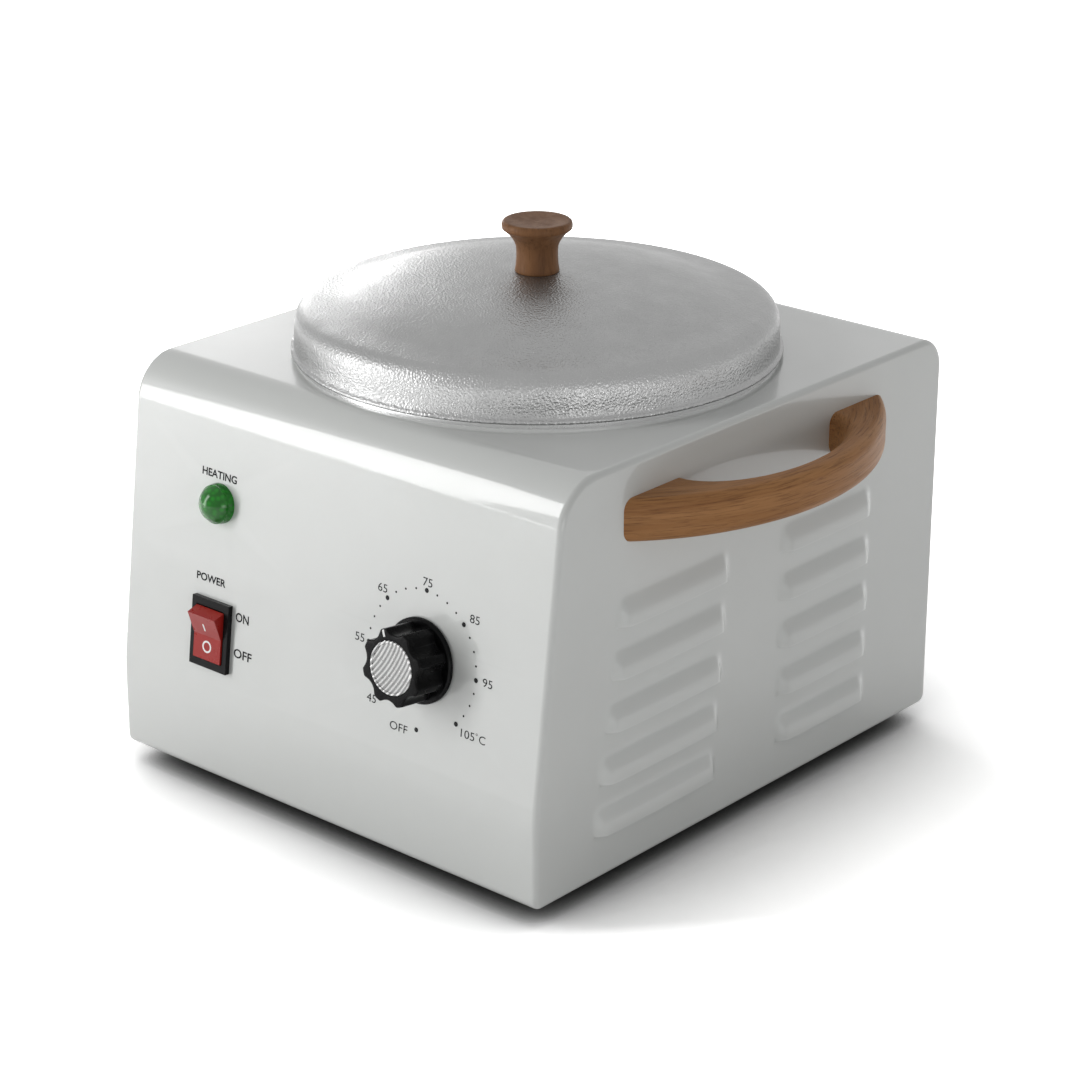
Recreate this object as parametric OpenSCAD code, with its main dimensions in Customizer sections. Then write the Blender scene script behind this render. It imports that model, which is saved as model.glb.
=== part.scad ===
// Wax warmer: a sheet-steel box with a heated well, a lift-out pot and a lid.
// X runs to the right seen from the front, the front faces -Y, Z is up.
// The origin is on the ground, at the middle of the whole object's outline.

/* [Housing] */
// Width over the side panels
body_w = 165; // [155:1:220]
// Depth from the front skirt to the rear wall
body_d = 184; // [170:1:240]
// Height of the housing without its feet
body_h = 120; // [105:1:160]
// Height of the upright skirt under the sloping front
skirt_h = 27; // [20:1:34]
// Backward lean of the front face, in degrees
front_lean = 7.2; // [3:0.1:10]
// Thickness of the sheet steel
sheet_t = 1.2; // [0.8:0.1:1.5]
// Radius of the bend from the front face into the top
front_top_r = 14; // [8:0.5:18]
// Radius of the soft bend from the skirt into the front face
bend_r = 70; // [30:5:90]
// Radius of the bend from the top into the rear wall
rear_top_r = 9.5; // [5:0.5:14]
// Radius of the bends along the bottom, front and rear
bottom_r = 3; // [3:0.5:4]
// Radius of the folded edge round each side panel
edge_r = 1.8; // [1.6:0.1:2.4]
// Width of the flange turned in along the bottom
flange_w = 12; // [10:1:15]

/* [Louvres] */
// Louvres in each column
louvre_rows = 5; // [3:1:6]
// Height of the lowest lip above the housing's bottom edge
louvre_low = 14; // [10:1:20]
// Height of one louvre
louvre_h = 7.2; // [5:0.2:8]
// How far a lip stands out of the panel
louvre_out = 2.7; // [2:0.1:3.5]
// Radius that closes a louvre's end
louvre_end_r = 3.4; // [3.2:0.1:5]
// Space between the top louvre and the handle's underside
louvre_top_gap = 16.2; // [12:0.2:20]
// Front end of the lowest louvre, behind the skirt
front_column = 24.5; // [15:0.5:40]
// Length of the lowest louvre of the front column
front_column_len = 52; // [40:1:60]
// Step back of the front ends from row to row, following the leaning front
front_end_step = 2.3; // [0:0.1:3]
// Step back of the rear ends of the front column from row to row
rear_end_step = 1.1; // [0:0.1:2]
// Front end of the rear column, behind the skirt
rear_column = 106.5; // [95:0.5:120]
// Length of the louvres of the rear column
rear_column_len = 42; // [30:1:48]

/* [Pot and well] */
// Centre of the pot behind the skirt
pot_y = 94.5; // [90:0.5:100]
// Outer radius of the pot
pot_r = 60; // [50:0.5:60]
// Wall of the pot
pot_wall = 1.2; // [0.8:0.1:2]
// Depth of the pot below the housing's top
pot_depth = 80; // [50:1:84]
// Corner radius between the pot's wall and its floor
pot_corner_r = 12; // [6:1:16]
// Thickness of the pot's flange
pot_flange_t = 1.2; // [1:0.1:1.5]
// Radius of the bead that centres the lid
bead_r = 1.2; // [0.8:0.1:1.6]
// Gap all round between the pot and its well
well_gap = 0.8; // [0.5:0.1:1.5]
// Wall of the well
well_wall = 1.5; // [1:0.1:2.5]
// Width of the well's flange beyond its wall
well_flange = 8; // [6:0.5:8]
// Screws that hold the well's flange to the top
well_screws = 6; // [3:1:8]

/* [Heater] */
// Height of the heater band round the well
band_h = 36; // [20:1:45]
// Thickness of the heater band
band_t = 1.6; // [1:0.1:2.5]
// Height of the band's lower edge above the well's floor
band_up = 16; // [14:1:20]
// Thickness of the insulation sleeve
sleeve_t = 4; // [2:0.5:5]
// Depth of the insulation pad under the well
pad_t = 5; // [3:0.5:8]

/* [Lid] */
// Outer radius of the lid at its rim
lid_r = 72.2; // [62:0.1:76]
// Wall of the lid
lid_wall = 1.4; // [1:0.1:2]
// Height of the lid's skirt
lid_skirt_h = 6.9; // [4:0.1:12]
// How much narrower the skirt is at its top
lid_taper = 1.1; // [0.5:0.1:2]
// Width of the rounded shoulder inside the skirt
lid_shoulder = 13.8; // [8:0.2:18]
// Rise of the shoulder
lid_shoulder_h = 8.3; // [5:0.1:10]
// Rise of the dome above the shoulder
lid_dome_h = 7.2; // [4:0.1:12]
// Fullness of the dome: 2 is a plain bowl, more is flatter on top
lid_fullness = 2.8; // [2:0.1:4]

/* [Lid knob] */
// Radius of the knob's foot and neck
grip_foot_r = 6.25; // [5:0.05:8]
// Radius of the knob's head
grip_head_r = 10.35; // [9:0.05:14]
// Height of the knob
grip_h = 15.3; // [13:0.1:24]
// Height of the straight neck
grip_neck_h = 7.4; // [4:0.1:8]
// Thickness of the head's rim
grip_rim_h = 2.2; // [1.5:0.1:4]
// Dish of the head's top
grip_dish = 0.5; // [0:0.1:1]

/* [Handles] */
// Length over the two feet
handle_len = 118; // [110:1:130]
// How far the bow stands out of the side panel
handle_out = 24.4; // [22:0.2:30]
// Height of the wooden bow
handle_th = 12.6; // [10:0.2:16]
// Drop of the bow's top below the housing's top
handle_drop = 10.4; // [8:0.2:14]
// Radius along the bow's edges
handle_r = 2.6; // [1:0.1:4]
// Length of the finger opening
grip_len = 66; // [60:1:76]
// Depth of the finger opening
grip_out = 17; // [14:0.5:18]
// Centre of the handle behind the skirt
handle_y = 94.6; // [88:0.2:100]
// Radius of the handle screws
handle_screw_r = 2; // [1.5:0.1:2.5]

/* [Dial] */
// Dial axis to the right of the middle
dial_x = 37.2; // [30:0.1:50]
// Dial axis above the bend, measured up the front face
dial_v = 33.8; // [28:0.1:50]
// Radius over the knob's lobes
dial_r = 11; // [9:0.1:14]
// Lobes round the knob
dial_lobes = 8; // [6:1:12]
// Radius of the scallops between the lobes
dial_scallop_r = 4.2; // [2:0.1:6]
// Depth of the scallops
dial_scallop = 1.6; // [0.8:0.1:2]
// Radius of the knob's flange
dial_flange_r = 12.2; // [11.8:0.1:16]
// Height of the knob over the front face
dial_h = 12.2; // [11:0.1:18]
// Gap between the knob and the front face
dial_gap = 0.4; // [0.2:0.1:1]
// Radius of the disc in the knob's face
disc_r = 7.7; // [5:0.1:8]
// Thickness of the disc in the knob's face
disc_t = 0.8; // [0.5:0.1:1]
// Angle of the pointer, counted from the right
pointer_deg = 111; // [-45:1:270]
// Radius of the thermostat's shaft
shaft_r = 3; // [2.5:0.1:3.5]
// Flat on the shaft, measured from its axis
shaft_flat = 2; // [1.5:0.1:2.3]
// Running clearance of the shaft in its bush
shaft_clear = 0.05; // [0.02:0.01:0.1]
// Outer radius of the threaded bush
bush_r = 4.75; // [4.5:0.05:5.5]

/* [Thermostat] */
// Width and height of the thermostat's case
stat_w = 32; // [26:1:36]
// Depth of the thermostat's case
stat_d = 17; // [12:1:20]
// Radius of the sensing bulb
bulb_r = 1.5; // [1:0.1:2]
// Length of the sensing bulb
bulb_len = 26; // [15:1:30]

/* [Switch] */
// Switch axis to the left of the middle
switch_x = 44.7; // [35:0.1:55]
// Middle of the switch above the bend, up the front face
switch_v = 18.8; // [16:0.1:30]
// Width of the switch's frame
switch_w = 15.2; // [14.6:0.1:16]
// Height of the switch's frame
switch_len = 20.8; // [20.4:0.1:22]
// Thickness of the switch's frame
switch_frame_t = 1.6; // [1:0.1:2.5]
// Width of the rocker
rocker_w = 11.2; // [10:0.1:11.4]
// Half length of the rocker's face
rocker_half = 7.2; // [6.5:0.1:7.4]
// Gap between the rocker and its frame
rocker_gap = 0.2; // [0.1:0.05:0.4]
// Tilt of the rocker to each side, in degrees
rocker_tilt = 12.5; // [8:0.5:14]
// Depth of the switch's body behind the front face
switch_depth = 17; // [14:1:20]

/* [Indicator] */
// Middle of the indicator above the bend, up the front face
lamp_v = 58.3; // [45:0.1:65]
// Radius of the lens
lens_r = 5.7; // [5:0.1:8]
// Height of the lens's straight collar
lens_collar = 2; // [1:0.1:3]
// Height of the lens's dome
lens_dome = 4.2; // [3:0.1:5]
// Radius of the indicator's barrel
barrel_r = 4.6; // [4:0.1:4.8]
// Length of the barrel behind the front face
barrel_len = 17; // [10:1:22]

/* [Mains inlet] */
// Inlet to the left of the middle, on the rear wall
inlet_x = 48; // [30:1:56]
// Height of the inlet's middle above the housing's bottom
inlet_z = 32; // [24:1:45]
// Width of the inlet's frame
inlet_w = 32; // [31:0.5:36]
// Height of the inlet's frame
inlet_h = 25; // [24:0.5:30]
// How far the frame stands out of the rear wall
inlet_proud = 2; // [1.5:0.1:3]
// Depth of the inlet's body behind the rear wall
inlet_depth = 19; // [18:1:24]

/* [Base and feet] */
// How far the base plate stays inside the housing's edges
base_inset = 6; // [4:0.5:8]
// Gap between the standing surface and the housing
foot_gap = 6; // [4:0.5:12]
// Radius of a foot
foot_r = 7; // [5:0.5:9]
// Distance of the feet from the base plate's edges
foot_inset = 16; // [15:1:30]
// Radius of the base plate's screws
base_screw_r = 1.5; // [1.2:0.1:2]

/* [Hidden] */
$fn = 96;
eps = 0.02;
z0 = foot_gap;
top_z = z0 + body_h;
half_w = body_w / 2;
fold_x = half_w - edge_r;
front_reach = dial_h * cos(front_lean) + dial_r * sin(front_lean) - dial_v * sin(front_lean);
y0 = (front_reach - body_d - inlet_proud) / 2;
pot_cy = y0 + pot_y;
well_r = pot_r + well_gap;
well_out = well_r + well_wall;
well_floor = top_z - pot_depth - well_gap - well_wall;
well_rim_z = top_z - sheet_t;
band_z = well_floor + band_up;
sleeve_r = well_out + band_t + 0.4;
lid_z = top_z + pot_flange_t;
lid_apex = lid_z + lid_skirt_h + lid_shoulder_h + lid_dome_h;
bead_at = lid_r - lid_wall - bead_r - 1;
handle_z = top_z - handle_drop - handle_th;
handle_cy = y0 + handle_y;
handle_top = body_h - handle_drop - handle_th;
louvre_pitch = (handle_top - louvre_top_gap - louvre_h - louvre_low) / (louvre_rows - 1);
louvre_r = (pow(louvre_h, 2) + pow(louvre_out, 2)) / (2 * louvre_out);
foot_cx = half_w - base_inset - foot_inset;
foot_front = y0 + base_inset + foot_inset;
foot_rear = y0 + body_d - base_inset - foot_inset;
rocker_rise = rocker_half * tan(rocker_tilt);
rocker_root = 2.05;
pivot_out = 0.1;
pivot_r = 1;
fold_steps = 4;
rim_lap = 0.5;
bow_steps = 26;
bow_r = (pow(handle_len / 2, 2) + pow(handle_out, 2)) / (2 * handle_out);
bow_half = asin(handle_len / 2 / bow_r);
block_x = 18;
block_back = 14;
lead_r = 1.1;
lead_bend = 4;
cut_w = switch_w - 2.2;
cut_len = switch_len - 1.8;

// Side outline of the housing: its corners with the bend radius of each
function side_corners() = [
    [0, 0, bottom_r],
    [body_d, 0, bottom_r],
    [body_d, body_h, rear_top_r],
    [(body_h - skirt_h) * tan(front_lean), body_h, front_top_r],
    [0, skirt_h, bend_r]];

function unit(v) = v / norm(v);
function xy(p) = [p[0], p[1]];
function around(c, i) = [xy(c[(i + len(c) - 1) % len(c)]), xy(c[i]), xy(c[(i + 1) % len(c)])];
function outward(a, b) = let (d = unit(b - a)) [d[1], -d[0]];

// The same outline drawn in by a distance
function drawn_in(c, by) = [
    for (i = [0 : len(c) - 1])
        let (p = around(c, i), n = outward(p[0], p[1]), m = outward(p[1], p[2]),
             q = p[1] - by * (n + m) / (1 + n * m))
            [q[0], q[1], c[i][2] - by]];

// Points along the outline, each corner's round in equal steps that don't depend on its radius
function corner_points(p, r) =
    let (n = outward(p[0], p[1]), m = outward(p[1], p[2]), o = p[1] - r * (n + m) / (1 + n * m),
         turn = acos(n * m), first = atan2(n[1], n[0]), steps = ceil(turn / 6 - 0.01))
            [for (i = [0 : steps]) let (a = first + turn * i / steps) o + r * [cos(a), sin(a)]];
function outline_points(c) = [for (i = [0 : len(c) - 1]) each corner_points(around(c, i), c[i][2])];

module rounded_outline(c) {
    polygon(outline_points(c));
}

// Solid skin through a row of rings with equal numbers of points: capped, or joined up end to end
module loft(rings, joined = false) {
    n = len(rings[0]);
    m = len(rings);
    polyhedron(
        points = [for (s = rings) each s],
        faces = concat(
            joined ? [] : [[for (j = [0 : n - 1]) j], [for (j = [n - 1 : -1 : 0]) (m - 1) * n + j]],
            [for (i = [0 : joined ? m - 1 : m - 2]) for (j = [0 : n - 1])
                let (a = i * n, b = (i + 1) % m * n, k = (j + 1) % n)
                    each [[a + j, b + j, a + k], [b + j, b + k, a + k]]]));
}

// Turns a flat outline, drawn as depth and height, into a wall that stands from x1 to x2
module across(x1, x2) {
    translate([x1, y0, z0]) rotate([90, 0, 90]) linear_extrude(x2 - x1) children();
}

// A place on the sloping front: x to the right, v up the slope, local Z out of the face
module on_front(x, v) {
    translate([x, y0 + v * sin(front_lean), z0 + skirt_h + v * cos(front_lean)])
        rotate([90 - front_lean, 0, 0]) children();
}

module on_rear(x, z) {
    translate([x, y0 + body_d, z0 + z]) rotate([-90, 0, 0]) mirror([0, 1, 0]) children();
}

module housing_wrap() {
    color("whitesmoke") difference() {
        across(-fold_x, fold_x) difference() {
            rounded_outline(side_corners());
            rounded_outline(drawn_in(side_corners(), sheet_t));
            translate([flange_w, -1]) square([body_d - 2 * flange_w, 1 + 2 * sheet_t]);
        }
        translate([0, pot_cy, top_z - 2 * sheet_t]) cylinder(h = 4 * sheet_t, r = well_r);
        for (a = [0 : well_screws - 1])
            well_screw_at(a) cylinder(h = 4 * sheet_t, r = 1.6, center = true);
        on_front(dial_x, dial_v) cylinder(h = 6, r = bush_r + 0.15, center = true);
        on_front(-switch_x, switch_v) cube([cut_w + 0.2, cut_len + 0.2, 6], center = true);
        on_front(-switch_x, lamp_v) cylinder(h = 6, r = barrel_r + 0.15, center = true);
        on_rear(-inlet_x, inlet_z) cube([inlet_w - 4.8, inlet_h - 4.8, 6], center = true);
        on_rear(-inlet_x + inlet_w, inlet_z) cylinder(h = 6, r = 2.1, center = true);
        for (p = base_screw_places())
            if (abs(p[0]) < fold_x - flange_w)
                translate([p[0], p[1], z0 - 1]) cylinder(h = 4, r = base_screw_r);
    }
}

// Rolled rim of a side panel: a quarter-round strip joined up round the whole outline
function rim(x, inset) = [
    for (p = outline_points(drawn_in(side_corners(), inset))) [x, y0 + p[0], z0 + p[1]]];

module rolled_rim() {
    loft(concat([for (i = [0 : fold_steps]) let (a = 90 * i / fold_steps)
            rim(fold_x + edge_r * sin(a), edge_r * (1 - cos(a)))],
        [rim(half_w, edge_r + rim_lap), rim(half_w - sheet_t, edge_r + rim_lap),
         rim(half_w - sheet_t, sheet_t), rim(fold_x, sheet_t)]), true);
}

// One louvre as a solid: its section is part of a round, its ends are closed by rounds
module louvre(y1, y2, z, skin) {
    r = louvre_r - skin;
    e = louvre_end_r - skin;
    deep = half_w + louvre_out - louvre_end_r;
    inner = skin > 0 ? half_w - sheet_t - 1 : half_w - sheet_t / 2;
    low = skin > 0 ? z - 0.3 : z;
    intersection() {
        translate([0, y0, 0]) translate([0, y2 + 1, 0]) rotate([90, 0, 0]) linear_extrude(y2 - y1 + 2)
            intersection() {
                translate([half_w + louvre_out - louvre_r, z0 + z]) circle(r);
                translate([inner, z0 + low]) square([louvre_out + sheet_t + 2, louvre_h + 1]);
            }
        translate([0, y0, z0 + low - 1]) linear_extrude(louvre_h + 4) {
            translate([deep, y1 + louvre_end_r]) circle(e, $fn = 64);
            translate([deep, y2 - louvre_end_r]) circle(e, $fn = 64);
            translate([deep, y1 + louvre_end_r]) square([e, y2 - y1 - 2 * louvre_end_r]);
            translate([inner, y1 + louvre_end_r - e])
                square([deep - inner, y2 - y1 - 2 * (louvre_end_r - e)]);
        }
    }
}

module louvres(skin) {
    for (i = [0 : louvre_rows - 1]) {
        z = louvre_low + i * louvre_pitch;
        front = front_column + i * front_end_step;
        louvre(front, front_column + front_column_len + i * rear_end_step, z, skin);
        louvre(rear_column, rear_column + rear_column_len, z, skin);
    }
}

module side_panel() {
    difference() {
        union() {
            across(half_w - sheet_t, half_w)
                rounded_outline(drawn_in(side_corners(), edge_r + rim_lap / 2));
            rolled_rim();
            louvres(0);
            translate([fold_x - flange_w, y0 + flange_w + 1, z0])
                cube([flange_w, body_d - 2 * flange_w - 2, sheet_t]);
        }
        louvres(sheet_t - 0.2);
        for (y = handle_screw_places())
            translate([half_w, y, handle_z + handle_th / 2]) rotate([0, 90, 0])
                cylinder(h = 8, r = handle_screw_r + 0.2, center = true);
        for (p = base_screw_places())
            if (p[0] > fold_x - flange_w)
                translate([p[0], p[1], z0 - 1]) cylinder(h = 4, r = base_screw_r);
    }
}

module right_panel() { color("gainsboro") side_panel(); }

module left_panel() { color("gainsboro") mirror([1, 0, 0]) side_panel(); }

// Base plate, its feet and its screws
function base_screw_places() = [
    for (x = [-1, 0, 1]) for (y = [-1, 1])
        x == 0 ? [0, y0 + body_d / 2 + y * (body_d - base_inset - flange_w) / 2]
               : [x * (half_w - base_inset + fold_x - flange_w) / 2, y0 + body_d / 2 + y * body_d / 4]];

function foot_places() = [for (x = [-1, 1]) for (y = [foot_front, foot_rear]) [x * foot_cx, y]];

module base_plate() {
    color("silver") difference() {
        translate([-half_w + base_inset, y0 + base_inset, z0 - sheet_t])
            cube([body_w - 2 * base_inset, body_d - 2 * base_inset, sheet_t]);
        for (p = base_screw_places())
            translate([p[0], p[1], z0 - 2]) cylinder(h = 3, r = base_screw_r);
        for (p = foot_places())
            translate([p[0], p[1], z0 - 2]) cylinder(h = 3, r = 2.1);
        for (x = [-2 : 2]) for (y = [-1, 1])
            translate([x * 18, y0 + body_d / 2 + y * 26, z0 - 2]) linear_extrude(3) vent_slot(4, 34);
    }
}

module vent_slot(w, h) {
    translate([-w / 2, -h / 2 + w / 2]) square([w, h - w]);
    for (s = [-1, 1]) translate([0, s * (h / 2 - w / 2)]) circle(w / 2, $fn = 32);
}

// Pan-head screw pointing up, its head under z = 0
module screw(r, length) {
    translate([0, 0, -r]) cylinder(h = r, r = 1.9 * r, $fn = 48);
    cylinder(h = length, r = r, $fn = 48);
}

module base_screws() {
    color("dimgray") for (p = base_screw_places())
        translate([p[0], p[1], z0 - sheet_t]) screw(base_screw_r, 5);
}

module feet() {
    color("black") for (p = foot_places()) translate([p[0], p[1], 0]) rotate_extrude() polygon([
        [2.1, 2], [3.8, 2], [3.8, 0], [foot_r - 0.6, 0], [foot_r, 0.6],
        [foot_r - 0.6, z0 - sheet_t], [2.1, z0 - sheet_t]]);
}

module foot_screws() {
    color("silver") for (p = foot_places()) translate([p[0], p[1], 2]) {
        translate([0, 0, -1.5]) cylinder(h = 1.5, r = 3.6, $fn = 48);
        cylinder(h = z0 - 2 + 3.4, r = 2.1, $fn = 48);
        translate([0, 0, z0 - 2]) cylinder(h = 2.4, r = 3.9, $fn = 6);
    }
}

// Drawn bowl as a closed outline for turning
module bowl_outline(r, floor_z, rim_z, wall, corner) {
    difference() {
        bowl_solid(r, floor_z, rim_z, corner);
        bowl_solid(r - wall, floor_z + wall, rim_z + 1, corner - wall);
    }
}

module bowl_solid(r, floor_z, rim_z, corner) {
    translate([0, floor_z]) square([r - corner, rim_z - floor_z]);
    translate([0, floor_z + corner]) square([r, rim_z - floor_z - corner]);
    intersection() {
        translate([r - corner, floor_z + corner]) circle(corner);
        translate([r - corner, floor_z]) square([corner, corner]);
    }
}

module well_screw_at(i) {
    translate([0, pot_cy, well_rim_z]) rotate([0, 0, 360 / well_screws * (i + 0.5)])
        translate([well_out + well_flange / 2, 0, 0]) children();
}

module heating_well() {
    color("lightgray") difference() {
        translate([0, pot_cy, 0]) rotate_extrude() {
            bowl_outline(well_out, well_floor, well_rim_z, well_wall, pot_corner_r + well_wall);
            translate([well_out - eps, well_rim_z - well_wall]) square([well_flange + eps, well_wall]);
        }
        for (a = [0 : well_screws - 1])
            well_screw_at(a) cylinder(h = 9, r = 1.6, center = true);
    }
}

module well_screw_set() {
    color("silver") for (a = [0 : well_screws - 1]) well_screw_at(a) {
        translate([0, 0, -6]) cylinder(h = 6 + sheet_t - 0.2, r = 1.55, $fn = 48);
        translate([0, 0, -well_wall - 2.4]) cylinder(h = 2.4, r = 3.1, $fn = 6);
    }
}

module heater_band() {
    color("peru") translate([0, pot_cy, band_z]) difference() {
        cylinder(h = band_h, r = well_out + band_t);
        translate([0, 0, -1]) cylinder(h = band_h + 2, r = well_out);
        translate([-3, -well_out - 5, -1]) cube([6, 10, band_h + 2]);
    }
}

// Two ceramic posts with their studs, on the flat ends of the band
module heater_terminals() {
    color("white") for (s = [-1, 1]) translate([0, pot_cy, band_z + band_h / 2]) rotate([0, 0, s * 8])
        difference() {
            translate([0, 1 - well_out - band_t, 0]) rotate([90, 0, 0]) {
                cylinder(h = 6, r = 3.2, $fn = 48);
                cylinder(h = 10, r = 1.5, $fn = 48);
            }
            cylinder(h = 8, r = well_out + band_t, center = true);
        }
}

module insulation_sleeve() {
    color("khaki") translate([0, pot_cy, band_z - 6]) difference() {
        cylinder(h = band_h + 16, r = sleeve_r + sleeve_t);
        translate([0, 0, -1]) cylinder(h = band_h + 18, r = sleeve_r);
        translate([-16, -sleeve_r - sleeve_t - 2, -1]) cube([32, sleeve_t + 12, band_h + 18]);
    }
}

module insulation_pad() {
    color("khaki") translate([0, pot_cy, well_floor - pad_t]) difference() {
        cylinder(h = pad_t, r = well_out - pot_corner_r);
        translate([0, 0, -1]) cylinder(h = pad_t + 2, r = 16);
    }
}

module pot() {
    color("lightgray") translate([0, pot_cy, 0]) rotate_extrude() {
        bowl_outline(pot_r, top_z - pot_depth, top_z + pot_flange_t, pot_wall, pot_corner_r);
        translate([pot_r - eps, top_z]) square([lid_r - 0.8 - pot_r + eps, pot_flange_t]);
        intersection() {
            translate([bead_at, top_z + pot_flange_t / 2]) circle(bead_r + pot_flange_t / 2, $fn = 48);
            translate([bead_at - 3, top_z + pot_flange_t / 2]) square([6, 6]);
        }
    }
}

// Outside of the lid from rim to middle: skirt, shoulder as a smooth curve, then the dome
function curve(a, b, c, t) = (1 - t) * (1 - t) * a + 2 * t * (1 - t) * b + t * t * c;
function lid_outside() =
    let (skirt = [lid_r - lid_taper, lid_skirt_h],
         dome_r = lid_r - lid_taper - lid_shoulder,
         rise = lid_skirt_h + lid_shoulder_h,
         dome = [dome_r, rise],
         pull = [lid_r - lid_taper - 0.05 * lid_shoulder, lid_skirt_h + 0.75 * lid_shoulder_h])
    concat([[lid_r, 0]],
        [for (i = [0 : 8]) curve(skirt, pull, dome, i / 8)],
        [for (i = [1 : 16]) let (r = dome_r * (1 - i / 16))
            [r, rise + lid_dome_h * (1 - pow(r / dome_r, lid_fullness))]]);

// The same line moved in by the wall
function moved_in(line, by) = [
    for (i = [0 : len(line) - 1])
        let (a = line[max(i - 1, 0)], b = line[min(i + 1, len(line) - 1)], d = unit(b - a))
            i == 0 ? line[0] + [-by, 0] :
            i == len(line) - 1 ? line[i] + [0, -by] : line[i] + by * [-d[1], d[0]]];

function reversed(line) = [for (i = [len(line) - 1 : -1 : 0]) line[i]];

module lid() {
    color("silver") translate([0, pot_cy, lid_z]) difference() {
        rotate_extrude() polygon(concat(lid_outside(), reversed(moved_in(lid_outside(), lid_wall))));
        translate([0, 0, lid_apex - lid_z - 6]) cylinder(h = 12, r = 2.1);
    }
}

// Turned knob: straight neck, a flare on one curve, then a rim and a dished top
module lid_knob() {
    flare_z = grip_h - grip_rim_h;
    color("saddlebrown") translate([0, pot_cy, lid_apex]) difference() {
        rotate_extrude() polygon(concat(
            [[0, 0], [grip_foot_r + 0.3, 0], [grip_foot_r, 1.5]],
            [for (i = [0 : 8]) curve([grip_foot_r, grip_neck_h], [grip_foot_r + 0.6, flare_z - 1.6],
                                     [grip_head_r, flare_z], i / 8)],
            [for (i = [0 : 4]) let (a = 22.5 * i)
                [grip_head_r - 0.9 + 0.9 * cos(a), grip_h - 0.9 + 0.9 * sin(a)]],
            [[0.6 * grip_head_r, grip_h - 0.7 * grip_dish], [0, grip_h - grip_dish]]));
        translate([0, 0, -1]) cylinder(h = 10, r = 2);
    }
}

// The washer lies flat under the dome, so it sits lower by the dome's drop at the washer's edge
module lid_knob_screw() {
    washer_r = 5;
    drop = lid_dome_h * pow(washer_r / (lid_r - lid_taper - lid_shoulder), lid_fullness) + 0.01;
    color("silver") translate([0, pot_cy, lid_apex - lid_wall - drop]) {
        translate([0, 0, -1]) cylinder(h = 1, r = washer_r);
        translate([0, 0, -3.2]) cylinder(h = 2.3, r = 3.6);
        translate([0, 0, -1]) cylinder(h = 1 + lid_wall + drop + 8.8, r = 2);
    }
}

// Bow handle: a rounded rectangle swept between the outer round and the oval finger opening
function bow_outer(t) = let (a = bow_half * (2 * t - 1))
    [handle_out - bow_r + bow_r * cos(a), bow_r * sin(a)];
function bow_inner(t) = let (a = 180 * t) [grip_out * sin(a), -grip_len / 2 * cos(a)];
function corner_ring(w, h, r) = [
    for (k = [0 : 3]) for (i = [0 : 3])
        let (a = 90 * k + 30 * i)
            [w / 2 + (k == 0 || k == 3 ? w / 2 - r : r - w / 2) + r * cos(a),
             h / 2 + (k < 2 ? h / 2 - r : r - h / 2) + r * sin(a)]];
function bow_section(t) =
    let (p = bow_inner(t), q = bow_outer(t), w = norm(q - p), d = (q - p) / w)
        [for (c = corner_ring(w, handle_th, handle_r)) [p[0] + d[0] * c[0], p[1] + d[1] * c[0], c[1]]];

module bow() {
    loft([for (i = [0 : bow_steps]) bow_section(i / bow_steps)]);
}

function handle_screw_places() = [
    for (s = [-1, 1]) handle_cy + s * (handle_len + grip_len) / 4];

module handle() {
    difference() {
        translate([half_w, handle_cy, handle_z]) bow();
        for (y = handle_screw_places())
            translate([half_w - 1, y, handle_z + handle_th / 2]) rotate([0, 90, 0])
                cylinder(h = 9, r = handle_screw_r);
    }
}

module right_handle() { color("sienna") handle(); }

module left_handle() { color("sienna") mirror([1, 0, 0]) handle(); }

module handle_screws() {
    color("silver") for (s = [-1, 1]) for (y = handle_screw_places())
        translate([s * (half_w - sheet_t), y, handle_z + handle_th / 2]) rotate([0, s * 90, 0])
            screw(handle_screw_r, 8.5);
}

// Control knob with its lobes, its disc and its shaft
module dial_turned() {
    on_front(dial_x, dial_v) rotate([0, 0, pointer_deg]) children();
}

module lobed_outline() {
    difference() {
        circle(dial_r);
        for (i = [0 : dial_lobes - 1]) rotate(360 / dial_lobes * (i + 0.5))
            translate([dial_r - dial_scallop + dial_scallop_r, 0]) circle(dial_scallop_r);
    }
}

module shaft_outline(r, flat) {
    intersection() {
        circle(r);
        translate([-r - 1, -r - 1]) square([r + 1 + flat, 2 * r + 2]);
    }
}

module dial_knob() {
    color("black") dial_turned() difference() {
        union() {
            translate([0, 0, dial_gap]) cylinder(h = 1.5, r = dial_flange_r);
            translate([0, 0, dial_gap]) linear_extrude(dial_h - dial_gap) lobed_outline();
        }
        translate([0, 0, dial_h - disc_t + 0.2]) cylinder(h = 2, r = disc_r);
        translate([0, 0, -1]) cylinder(h = 5.6, r = 8.6);
        linear_extrude(9.5) shaft_outline(shaft_r, shaft_flat);
    }
}

module dial_disc() {
    color("silver") dial_turned() translate([0, 0, dial_h - disc_t + 0.2])
        cylinder(h = disc_t, r = disc_r);
}

module thermostat_shaft() {
    color("gray") dial_turned() {
        translate([0, 0, 4.6]) linear_extrude(4.6) shaft_outline(shaft_r, shaft_flat);
        translate([0, 0, -5]) cylinder(h = 9.6, r = shaft_r);
    }
}

module thermostat_bush() {
    color("goldenrod") on_front(dial_x, dial_v) difference() {
        union() {
            translate([0, 0, -sheet_t - 2.5]) cylinder(h = sheet_t + 2.5 + 4, r = bush_r);
            translate([0, 0, -sheet_t - 2.5]) cylinder(h = 2.5, r = bush_r + 3);
        }
        translate([0, 0, -sheet_t - 3]) cylinder(h = sheet_t + 9, r = shaft_r + shaft_clear);
    }
}

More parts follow.
